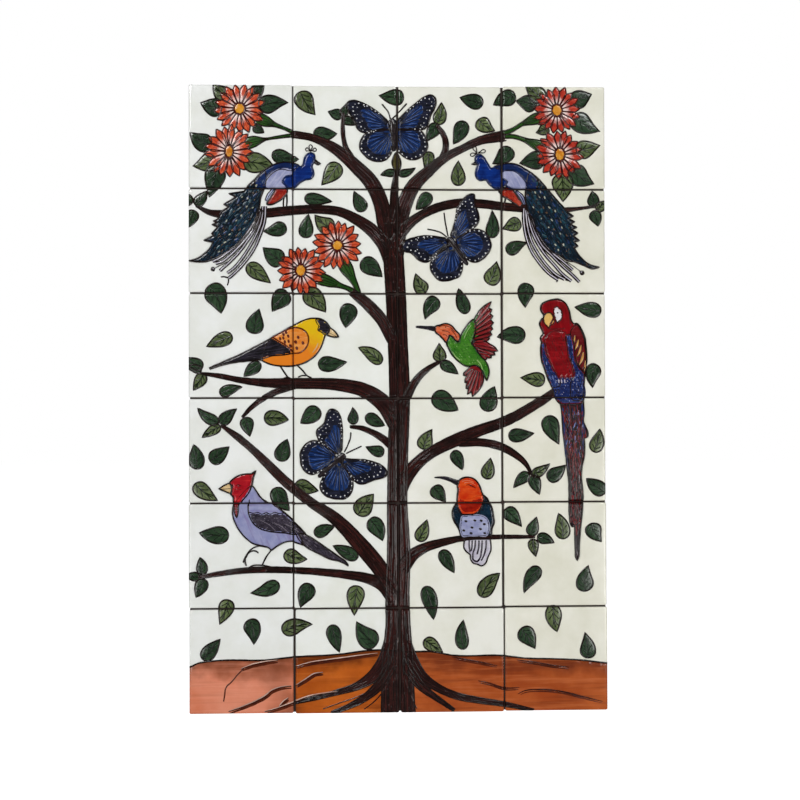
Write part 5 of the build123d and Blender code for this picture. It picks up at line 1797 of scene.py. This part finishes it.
class Nodes:
    """A new material's node tree, with short ways to add to it."""

    def __init__(self, name):
        self.material = bpy.data.materials.new(name)
        self.material.use_nodes = True
        self.tree = self.material.node_tree
        self.tree.nodes.clear()
        self.shader = self.add("ShaderNodeBsdfPrincipled")
        output = self.add("ShaderNodeOutputMaterial")
        self.join(self.shader, "BSDF", output, "Surface")
        self.place = self.add("ShaderNodeTexCoord")

    def add(self, kind, **settings):
        """A new node with the given settings."""
        node = self.tree.nodes.new(kind)
        for key, value in settings.items():
            setattr(node, key, value)
        return node

    def join(self, source, out, target, into):
        """Links an output of one node to an input of another."""
        self.tree.links.new(source.outputs[out], target.inputs[into])

    def noise(self, scale, detail=3.0, rough=0.55, source=None, out="Object"):
        """A noise over the object's own place, or over another node's vector."""
        node = self.add("ShaderNodeTexNoise")
        node.inputs["Scale"].default_value = scale
        node.inputs["Detail"].default_value = detail
        node.inputs["Roughness"].default_value = rough
        self.join(source or self.place, out, node, "Vector")
        return node

    def between(self, source, out, low, high, new_low=0.0, new_high=1.0):
        """Maps a node's value from one range to another, and stops at its ends."""
        node = self.add("ShaderNodeMapRange")
        for key, value in (("From Min", low), ("From Max", high), ("To Min", new_low), ("To Max", new_high)):
            node.inputs[key].default_value = value
        self.join(source, out, node, "Value")
        return node

    def mix(self, first, second, factor, factor_out="Result"):
        """Mixes two colours, each a colour or a (node, output) pair, by a factor node."""
        node = self.add("ShaderNodeMix", data_type="RGBA")
        for socket, value in ((6, first), (7, second)):
            if isinstance(value[0], bpy.types.Node):
                self.tree.links.new(value[0].outputs[value[1]], node.inputs[socket])
            else:
                node.inputs[socket].default_value = value
        self.join(factor, factor_out, node, 0)
        return node

    def attribute(self, name):
        """A value stored on the mesh."""
        return self.add("ShaderNodeAttribute", attribute_name=name)

    def product(self, first, first_out, second, second_out):
        """Two nodes' values multiplied."""
        node = self.add("ShaderNodeMath", operation="MULTIPLY")
        self.join(first, first_out, node, 0)
        self.join(second, second_out, node, 1)
        return node

    def uneven_blend(self, scale, detail, spread):
        """The mesh's blend, made to waver by a noise."""
        wavering = self.between(self.noise(scale, detail), "Fac", 0.3, 0.7, -spread, spread)
        node = self.add("ShaderNodeMath", operation="ADD")
        self.join(self.attribute("blend"), "Fac", node, 0)
        self.join(wavering, "Result", node, 1)
        return node

    def edged(self, colour, shade, high, share):
        """A colour that turns to a shade towards the rim."""
        rim = self.between(self.attribute("rim"), "Fac", 0.2, high, 0.0, share)
        return self.mix((colour, 2), shade, rim)

    def finish(self, colour, *shine):
        """Takes the colour up in the shader under a fired glaze's shine, and gives the material."""
        self.join(colour, 2, self.shader, "Base Color")
        gloss(self, *shine)
        return self.material

    def bump(self, heights, distance):
        """Adds bumps, one after another, each from a node, its output and a strength."""
        last = None
        for node, out, strength in heights:
            bump = self.add("ShaderNodeBump")
            bump.inputs["Strength"].default_value = strength
            bump.inputs["Distance"].default_value = distance
            self.join(node, out, bump, "Height")
            if last:
                self.join(last, "Normal", bump, "Normal")
            last = bump
        self.join(last, "Normal", self.shader, "Normal")


def grained(nodes, along, across):
    """A noise drawn out along the way a piece runs."""
    flow = nodes.attribute("flow")
    scaled = nodes.add("ShaderNodeVectorMath", operation="MULTIPLY")
    scaled.inputs[1].default_value = (along, across, 9.0)
    nodes.join(flow, "Vector", scaled, 0)
    return nodes.noise(1.0, 3.0, 0.6, scaled, "Vector")


def gloss(nodes, low=0.05, high=0.16, lines=None):
    """A fired glaze's shine: uneven roughness, orange-peel, broad ripples and any brush lines."""
    smear = nodes.noise(60.0, 3.0)
    rough = nodes.between(smear, "Fac", 0.35, 0.65, low, high)
    nodes.join(rough, "Result", nodes.shader, "Roughness")
    nodes.shader.inputs["IOR"].default_value = 1.5
    heights = [(nodes.noise(900.0, 2.0), "Fac", 0.10), (nodes.noise(150.0, 2.0), "Fac", 0.10)]
    if lines:
        heights.append((lines, "Fac", 0.35))
    nodes.bump(heights, 0.0006)


def make_glaze(name, deep, pale, edge, pooled, grain=None, streak=None, streak_share=0.0):
    """A coloured glaze that varies between two colours, pools towards its rim and may be streaked."""
    nodes = Nodes(name)
    lines = None
    clouds = nodes.between(nodes.noise(85.0, 4.0, 0.6), "Fac", 0.36, 0.66)
    colour = nodes.mix(linear(*deepen(*deep)), linear(*deepen(*pale)), clouds)
    if streak:
        lines = grained(nodes, *grain)
        amount = nodes.between(lines, "Fac", 0.50, 0.66, 0.0, streak_share)
        colour = nodes.mix((colour, 2), linear(*deepen(*streak)), amount)
    worn = nodes.between(nodes.noise(320.0, 2.0), "Fac", 0.3, 0.6, pooled * 0.6, pooled)
    pull = nodes.product(nodes.attribute("rim"), "Fac", worn, "Result")
    colour = nodes.mix((colour, 2), linear(*deepen(*edge)), pull, "Value")
    tone = nodes.between(nodes.attribute("tone"), "Fac", 0.0, 1.0, 0.82, 1.18)
    nodes.join(lightened(nodes, colour, tone), "Color", nodes.shader, "Base Color")
    gloss(nodes, lines=lines)
    return nodes.material


def lightened(nodes, colour, amount):
    """A colour made lighter or darker by an amount."""
    light = nodes.add("ShaderNodeHueSaturation")
    nodes.join(amount, "Result", light, "Value")
    nodes.join(colour, 2, light, "Color")
    return light


def deepen(red, green, blue):
    """A glaze colour as it looks under a clear gloss: darker and stronger."""
    grey = (red + green + blue) / 3
    return [max(3.0, (grey + (value - grey) * RICHER) * DARKER) for value in (red, green, blue)]


def make_earth(name, deep, pale, dark, brushing):
    """The ground's thick glaze: cloudy, and darker where it runs up to its top edge."""
    nodes = Nodes(name)
    shade = linear(*deepen(*dark))
    clouds = nodes.between(nodes.noise(16.0, 4.0, 0.6), "Fac", 0.34, 0.68)
    colour = nodes.mix(linear(*deepen(*deep)), linear(*deepen(*pale)), clouds)
    band_top = nodes.between(nodes.uneven_blend(30.0, 3.0, 0.07), "Value", 0.01, 0.17, 0.85, 0.0)
    colour = nodes.mix((colour, 2), shade, band_top)
    patches = nodes.between(nodes.noise(9.0, 3.0, 0.5), "Fac", 0.56, 0.72, 0.0, 0.7)
    colour = nodes.mix((colour, 2), shade, patches)
    brushed = nodes.between(grained(nodes, 9.0, 150.0), "Fac", 0.50, 0.68, 0.0, brushing)
    colour = nodes.mix((colour, 2), linear(*pale), brushed)
    smeared = nodes.between(grained(nodes, 7.0, 110.0), "Fac", 0.46, 0.34, 0.0, brushing * 0.8)
    colour = nodes.mix((colour, 2), shade, smeared)
    return nodes.finish(nodes.edged(colour, shade, 1.0, 0.7), 0.04, 0.12)


def make_petal(name, deep, pale, streak):
    """Petal glaze: white at the core, then coral to red, with redder streaks."""
    nodes = Nodes(name)
    fade = nodes.between(nodes.uneven_blend(260.0, 2.0, 0.09), "Value", 0.16, 0.50)
    clouds = nodes.between(nodes.noise(140.0, 3.0), "Fac", 0.38, 0.62)
    body = nodes.mix(linear(*deep), linear(*pale), clouds)
    streaks = nodes.between(grained(nodes, 60.0, 900.0), "Fac", 0.50, 0.64, 0.0, 0.55)
    body = nodes.mix((body, 2), linear(*streak), streaks)
    colour = nodes.mix(linear(*PETAL_WHITE), (body, 2), fade)
    return nodes.finish(nodes.edged(colour, linear(*streak), 0.9, 0.75))


def skin_glaze(column):
    """The tiles' white glaze, a little bluer on the left of the mural and creamier on the right."""
    name = f"white_{column + 1}"
    if name in bpy.data.materials:
        return bpy.data.materials[name]
    nodes = Nodes(name)
    clean, warm = WHITES[column]
    clouds = nodes.between(nodes.noise(18.0, 4.0, 0.6), "Fac", 0.35, 0.65)
    colour = nodes.mix(linear(*clean), linear(*warm), clouds)
    specks = nodes.add("ShaderNodeTexVoronoi")
    specks.inputs["Scale"].default_value = 190.0
    nodes.join(nodes.place, "Object", specks, "Vector")
    close = nodes.between(specks, "Distance", 0.05, 0.11, 1.0, 0.0)
    rare = nodes.between(specks, "Color", 0.80, 0.84, 0.0, 0.35)
    few = nodes.product(close, "Result", rare, "Result")
    colour = nodes.mix((colour, 2), linear(*WHITE_SPECK), few, "Value")
    return nodes.finish(nodes.edged(colour, linear(*WHITE_RIM), 1.0, 0.85), 0.06, 0.15)


def make_clay(name, deep, pale, specks, scale, rough, strength):
    """An unglazed body: mottled, with grit and pores."""
    nodes = Nodes(name)
    clouds = nodes.between(nodes.noise(22.0, 5.0, 0.65), "Fac", 0.32, 0.68)
    colour = nodes.mix(linear(*deep), linear(*pale), clouds)
    grit = nodes.noise(scale, 2.0, 0.7)
    amount = nodes.between(grit, "Fac", 0.60, 0.70, 0.0, 0.75)
    colour = nodes.mix((colour, 2), linear(*specks), amount)
    dust = nodes.between(nodes.noise(scale * 0.3, 4.0), "Fac", 0.3, 0.7, 0.85, 1.12)
    nodes.join(lightened(nodes, colour, dust), "Color", nodes.shader, "Base Color")
    coarse = nodes.between(grit, "Fac", 0.3, 0.7, rough - 0.08, rough + 0.08)
    nodes.join(coarse, "Result", nodes.shader, "Roughness")
    nodes.bump([(grit, "Fac", strength), (clouds, "Result", strength)], 0.0008)
    return nodes.material


def make_yellow():
    """The yellow bird's glaze: lemon at the head, running to orange at the belly."""
    nodes = Nodes("yellow")
    fade = nodes.between(nodes.uneven_blend(70.0, 3.0, 0.16), "Value", 0.22, 0.66)
    colour = nodes.mix(linear(*LEMON), linear(*BELLY_ORANGE), fade)
    return nodes.finish(nodes.edged(colour, linear(*YELLOW_RIM), 1.0, 0.7))


# the white glaze of each column of tiles: its clean and its warm colour
WHITES = [
    ((229, 231, 229), (220, 222, 216)),
    ((230, 232, 228), (221, 223, 214)),
    ((229, 229, 221), (219, 219, 206)),
    ((227, 226, 214), (216, 215, 199)),
]

WHITE_SPECK = (150, 130, 105)
WHITE_RIM = (196, 158, 124)
PETAL_WHITE = (230, 214, 208)
LEMON = (212, 172, 20)
BELLY_ORANGE = (214, 120, 30)
YELLOW_RIM = (140, 62, 12)

RICHER = 1.22  # how much stronger a colour looks under the clear gloss
DARKER = 0.86  # and how much darker
BLACK = (24, 14, 10)

# name: deep colour, pale colour, rim colour and its share; then, for a streaked glaze, the scales of
# its grain along and across, the streaks' colour and their share
COLOURS = {
    "line": ((20, 11, 9), (34, 20, 16), (14, 8, 6), 0.4),
    "bark": ((30, 14, 13), (50, 25, 23), (14, 7, 7), 0.7, (14.0, 420.0), (76, 38, 34), 0.6),
    # warm brown of the bark's streaks, partly painted highlight on its ridges
    "bark_streak_and_highlight": ((50, 22, 20), (80, 40, 36), (26, 12, 11), 0.8),
    "leaf_dark": ((30, 46, 32), (52, 72, 52), (16, 26, 18), 0.8, (60.0, 500.0), (76, 98, 72), 0.5),
    "leaf_pale": ((66, 80, 50), (108, 120, 84), (30, 42, 22), 0.8, (50.0, 420.0), (150, 160, 124), 0.5),
    "vein": ((16, 28, 12), (26, 42, 18), BLACK, 0.5),
    "vein_dark": ((14, 22, 15), (26, 38, 27), BLACK, 0.4),
    "stem": ((24, 56, 20), (44, 80, 32), (14, 30, 10), 0.8, (40.0, 500.0), (70, 104, 50), 0.5),
    "bud": ((58, 52, 30), (88, 82, 50), (30, 22, 14), 0.8, (40.0, 500.0), (112, 104, 70), 0.5),
    "petal_line": ((50, 12, 10), (84, 24, 18), (24, 8, 8), 0.5),
    "petal_vein": ((170, 40, 24), (190, 56, 34), (120, 24, 14), 0.5),
    "core": ((196, 120, 34), (226, 164, 66), (150, 78, 20), 0.7, (300.0, 300.0), (240, 196, 110), 0.6),
    "earth_line": ((54, 23, 14), (84, 38, 22), (40, 14, 8), 0.6),
    # a painted highlight along the upper edge of the ground's bold layers
    "earth_highlight": ((226, 196, 180), (250, 232, 222), (170, 112, 84), 0.6),
    # the dark earth glaze of the crack and of the painted shade under the layers
    "earth_crack_and_shade": ((66, 28, 15), (92, 42, 22), (60, 24, 13), 0.4),
    "wing_black": ((14, 15, 22), (34, 36, 50), (8, 8, 12), 0.6, (40.0, 400.0), (52, 54, 74), 0.5),
    "wing_blue": ((16, 34, 72), (26, 52, 98), (9, 15, 32), 0.8, (50.0, 420.0), (64, 94, 154), 0.5),
    "wing_pale": ((84, 112, 172), (136, 158, 204), (48, 68, 124), 0.5),
    "body_dark": ((32, 27, 28), (54, 46, 47), (18, 15, 16), 0.6),
    "spot": ((252, 252, 252), (255, 255, 255), (200, 204, 212), 0.4),
    "train": ((7, 16, 27), (15, 32, 43), (8, 12, 22), 0.7, (30.0, 500.0), (40, 70, 90), 0.5),
    "train_teal": ((14, 44, 56), (32, 72, 84), (10, 28, 40), 0.5),
    "train_blue": ((18, 36, 70), (40, 66, 108), (12, 24, 48), 0.5),
    "train_pale": ((190, 194, 180), (226, 226, 206), (110, 112, 100), 0.5),
    "train_brown": ((92, 70, 52), (128, 104, 78), (50, 36, 30), 0.5),
    "navy": ((16, 30, 68), (26, 46, 92), (10, 14, 32), 0.7, (40.0, 400.0), (46, 72, 124), 0.4),
    "peacock_blue": ((10, 32, 88), (18, 52, 124), (10, 18, 54), 0.8, (40.0, 400.0), (50, 92, 180), 0.35),
    "lilac": ((150, 154, 190), (186, 190, 218), (96, 96, 136), 0.6, (40.0, 360.0), (210, 212, 230), 0.5),
    "lilac_body": (
        (152, 155, 194), (176, 179, 210), (106, 100, 146), 0.7, (24.0, 200.0), (128, 112, 158), 0.5),
    "lilac_rim": ((176, 178, 208), (200, 202, 222), (120, 120, 160), 0.4),
    "plume": ((208, 204, 218), (234, 232, 238), (158, 150, 172), 0.5, (30.0, 500.0), (176, 164, 190), 0.4),
    "flank_red": ((126, 24, 22), (172, 58, 40), (70, 12, 14), 0.7, (60.0, 400.0), (196, 92, 66), 0.5),
    "flank_dark": ((84, 12, 14), (112, 22, 20), (50, 8, 10), 0.5),
    "flank_pale": ((186, 84, 60), (208, 112, 82), (120, 40, 30), 0.5),
    "bird_black": ((18, 16, 20), (40, 36, 44), (8, 7, 9), 0.6, (30.0, 500.0), (66, 62, 74), 0.5),
    "bird_grey": ((44, 40, 50), (74, 68, 80), (20, 18, 24), 0.6, (30.0, 500.0), (98, 92, 104), 0.4),
    "dove_pale": ((128, 120, 132), (168, 160, 168), (80, 72, 84), 0.5),
    "orange": ((222, 132, 50), (236, 160, 84), (176, 84, 26), 0.7, (60.0, 300.0), (240, 190, 130), 0.5),
    "brown_line": ((78, 20, 10), (104, 34, 16), (46, 12, 8), 0.5),
    "bill": ((226, 184, 104), (240, 208, 142), (170, 112, 50), 0.5),
    "cream": ((222, 190, 136), (236, 214, 176), (170, 120, 66), 0.6),
    "bird_green": ((44, 100, 28), (74, 130, 46), (26, 60, 18), 0.7, (50.0, 300.0), (104, 150, 72), 0.5),
    "green_pale": ((160, 196, 120), (206, 222, 176), (96, 140, 66), 0.5),
    "coral": ((196, 84, 50), (220, 124, 84), (110, 34, 20), 0.7, (60.0, 400.0), (236, 170, 136), 0.5),
    "coral_pale": ((232, 160, 124), (240, 186, 156), (190, 100, 66), 0.5),
    "coral_red": ((190, 52, 22), (214, 86, 38), (112, 22, 12), 0.7, (50.0, 300.0), (226, 112, 60), 0.4),
    "maroon": ((100, 16, 24), (136, 32, 38), (52, 8, 14), 0.7, (60.0, 500.0), (160, 62, 66), 0.5),
    "maroon_pale": ((148, 50, 46), (176, 86, 78), (92, 28, 30), 0.5),
    "crimson": ((100, 7, 16), (132, 14, 24), (54, 5, 12), 0.75, (30.0, 300.0), (172, 38, 44), 0.4),
    "crimson_dull": ((78, 12, 18), (110, 28, 32), (42, 8, 12), 0.6, (30.0, 400.0), (138, 56, 56), 0.4),
    "scarlet": ((146, 20, 34), (176, 40, 50), (82, 12, 20), 0.7, (50.0, 300.0), (222, 74, 70), 0.4),
    "macaw_blue": ((20, 32, 78), (36, 54, 108), (12, 16, 38), 0.7, (40.0, 500.0), (82, 104, 166), 0.5),
    "blue_pale": ((122, 136, 190), (178, 186, 216), (66, 80, 140), 0.5),
    "ochre": ((196, 136, 76), (222, 172, 110), (134, 78, 38), 0.6, (40.0, 400.0), (230, 206, 164), 0.4),
    "tail_dark": ((26, 15, 23), (46, 26, 35), (15, 9, 14), 0.6, (20.0, 500.0), (78, 32, 40), 0.6),
    "tail_pale": ((116, 92, 100), (150, 130, 136), (70, 50, 58), 0.5),
    "tail_line": ((26, 16, 34), (44, 30, 52), (14, 9, 20), 0.5),
    "white_patch": ((244, 244, 246), (252, 252, 252), (200, 196, 206), 0.5),
    "head_shade": ((118, 20, 12), (160, 36, 20), (76, 12, 8), 0.5, (50.0, 300.0), (186, 60, 34), 0.4),
    "night": ((10, 22, 34), (18, 40, 58), (6, 10, 16), 0.6, (40.0, 400.0), (36, 66, 84), 0.5),
}

# name: deep colour, pale colour, dark colour, share of the brush marks
EARTHS = {
    "earth_pale": ((222, 140, 110), (236, 162, 136), (122, 70, 48), 0.16),
    "earth_ochre": ((164, 84, 30), (202, 112, 46), (84, 40, 18), 0.4),
    "earth_red": ((158, 78, 38), (190, 106, 60), (108, 50, 27), 0.5),
}


# ---- the CAD pieces, the stage and the camera ---------------------------------------------------
def dress_frame():
    """Gives the clay, grout, mortar and board their procedural materials."""
    clay = make_clay("clay_body", (158, 92, 62), (186, 118, 84), (112, 62, 42), 900.0, 0.82, 0.5)
    grout = make_clay("grout_body", (34, 24, 21), (50, 38, 33), (74, 62, 55), 1400.0, 0.88, 0.6)
    mortar = make_clay("mortar_body", (128, 124, 116), (156, 152, 144), (98, 94, 88), 900.0, 0.9, 0.7)
    board = make_clay("board_body", (150, 148, 142), (172, 170, 164), (124, 122, 116), 600.0, 0.85, 0.35)
    looks = {"joint_grout": grout, "setting_bed": mortar, "backer_board": board}
    for name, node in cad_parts.items():
        for slot in node.material_slots:
            slot.material = looks.get(name, clay)


def area_light(name, place, aim, size, power, colour=(1.0, 1.0, 1.0)):
    """A soft rectangular light that looks at a point."""
    data = bpy.data.lights.new(name, "AREA")
    data.shape = "RECTANGLE"
    data.size, data.size_y = size
    data.energy = power
    data.color = colour
    lamp = bpy.data.objects.new(name, data)
    lamp.location = place
    lamp.rotation_euler = (Vector(aim) - Vector(place)).to_track_quat("-Z", "Y").to_euler()
    bpy.context.scene.collection.objects.link(lamp)


def make_floor():
    """A pale floor, dark to glossy rays so that it leaves no pale streak in the glaze."""
    bpy.ops.mesh.primitive_plane_add(size=30, location=(0, 0, CAD_LOW.z - FLOOR_DROP))
    floor = bpy.context.object
    floor.name = "floor"
    nodes = Nodes("floor_white")
    nodes.shader.inputs["Roughness"].default_value = 0.9
    nodes.shader.inputs["Emission Color"].default_value = (1, 1, 1, 1)
    path = nodes.add("ShaderNodeLightPath")
    seen = nodes.mix((0.9, 0.9, 0.9, 1), (0.1, 0.1, 0.1, 1), path, "Is Glossy Ray")
    nodes.join(seen, 2, nodes.shader, "Base Color")
    shown = nodes.between(path, "Is Camera Ray", 0.0, 1.0, 0.0, 0.75)
    nodes.join(shown, "Result", nodes.shader, "Emission Strength")
    floor.data.materials.append(nodes.material)


def make_surround():
    """A surround that the camera sees as white and glossy glaze sees as nearly black."""
    world = bpy.data.worlds.new("surround")
    bpy.context.scene.world = world
    world.use_nodes = True
    tree = world.node_tree
    tree.nodes.clear()
    output = tree.nodes.new("ShaderNodeOutputWorld")
    shade = tree.nodes.new("ShaderNodeBackground")
    shade.inputs["Color"].default_value = (1, 1, 1, 1)
    path = tree.nodes.new("ShaderNodeLightPath")
    level = tree.nodes.new("ShaderNodeMapRange")
    level.inputs["To Min"].default_value = WORLD_LIGHT
    level.inputs["To Max"].default_value = WORLD_SHINE
    tree.links.new(path.outputs["Is Glossy Ray"], level.inputs["Value"])
    seen = tree.nodes.new("ShaderNodeMath")
    seen.operation = "MAXIMUM"
    tree.links.new(level.outputs["Result"], seen.inputs[0])
    tree.links.new(path.outputs["Is Camera Ray"], seen.inputs[1])
    tree.links.new(seen.outputs["Value"], shade.inputs["Strength"])
    tree.links.new(shade.outputs["Background"], output.inputs["Surface"])


def make_lights():
    """Soft lights in front of the mural, above and below, and one behind it."""
    area_light("key", (-0.95, -1.7, 1.15), (0, 0, 0), (0.5, 0.5), 16.5)
    area_light("fill", (1.2, -1.8, -0.6), (0, 0, -0.3), (0.8, 1.0), 17.5, (1.0, 0.985, 0.96))
    area_light("glint", (0.8, -1.6, 1.2), (0, 0, 0), (0.26, 0.26), 6.0)
    area_light("low", (-1.15, -1.8, -0.6), (0, 0, -0.3), (0.6, 0.8), 8.5)
    area_light("back", (0.0, 1.6, 1.6), (0, 0, 0), (1.6, 0.8), 14.0)


def make_camera():
    """A 50 mm lens in front of the mural, a little to its left, as the photograph was taken."""
    data = bpy.data.cameras.new("camera")
    data.lens = 50.0
    data.sensor_width = 36.0
    camera = bpy.data.objects.new("camera", data)
    turn = Matrix.Rotation(CAMERA_YAW, 4, "Z")
    tilt = Matrix.Rotation(radians(90) + CAMERA_PITCH, 4, "X")
    roll = Matrix.Rotation(-CAMERA_ROLL, 4, "Z")
    camera.matrix_world = Matrix.Translation(CAMERA_PLACE) @ turn @ tilt @ roll
    bpy.context.scene.collection.objects.link(camera)
    bpy.context.scene.camera = camera
    bpy.context.scene.view_settings.view_transform = "Standard"


CAMERA_PLACE = (-0.048, -1.635, -0.023)
CAMERA_YAW = -0.031
CAMERA_PITCH = 0.0122
CAMERA_ROLL = 0.0024
FLOOR_DROP = 0.3  # the floor lies this far under the mural, which hangs on a wall
WORLD_LIGHT = 0.30  # strength of the surround as a light
WORLD_SHINE = 0.08  # and as glossy glaze sees it

GLAZES = ["white", "petal", "petal_deep", "yellow"] + list(COLOURS) + list(EARTHS)
MATERIALS = {name: make_glaze(name, *recipe) for name, recipe in COLOURS.items()}
MATERIALS.update({name: make_earth(name, *recipe) for name, recipe in EARTHS.items()})
MATERIALS["petal"] = make_petal("petal", (180, 60, 30), (206, 92, 56), (148, 40, 22))
MATERIALS["petal_deep"] = make_petal("petal_deep", (158, 38, 26), (190, 66, 46), (124, 24, 20))
MATERIALS["yellow"] = make_yellow()

draw_ground()
draw_tree()
draw_leaves()
draw_flowers()
draw_creatures()
for tile_row in range(ROWS):
    for tile_column in range(COLUMNS):
        make_tile(tile_row, tile_column)
dress_frame()
make_floor()
make_surround()
make_lights()
make_camera()
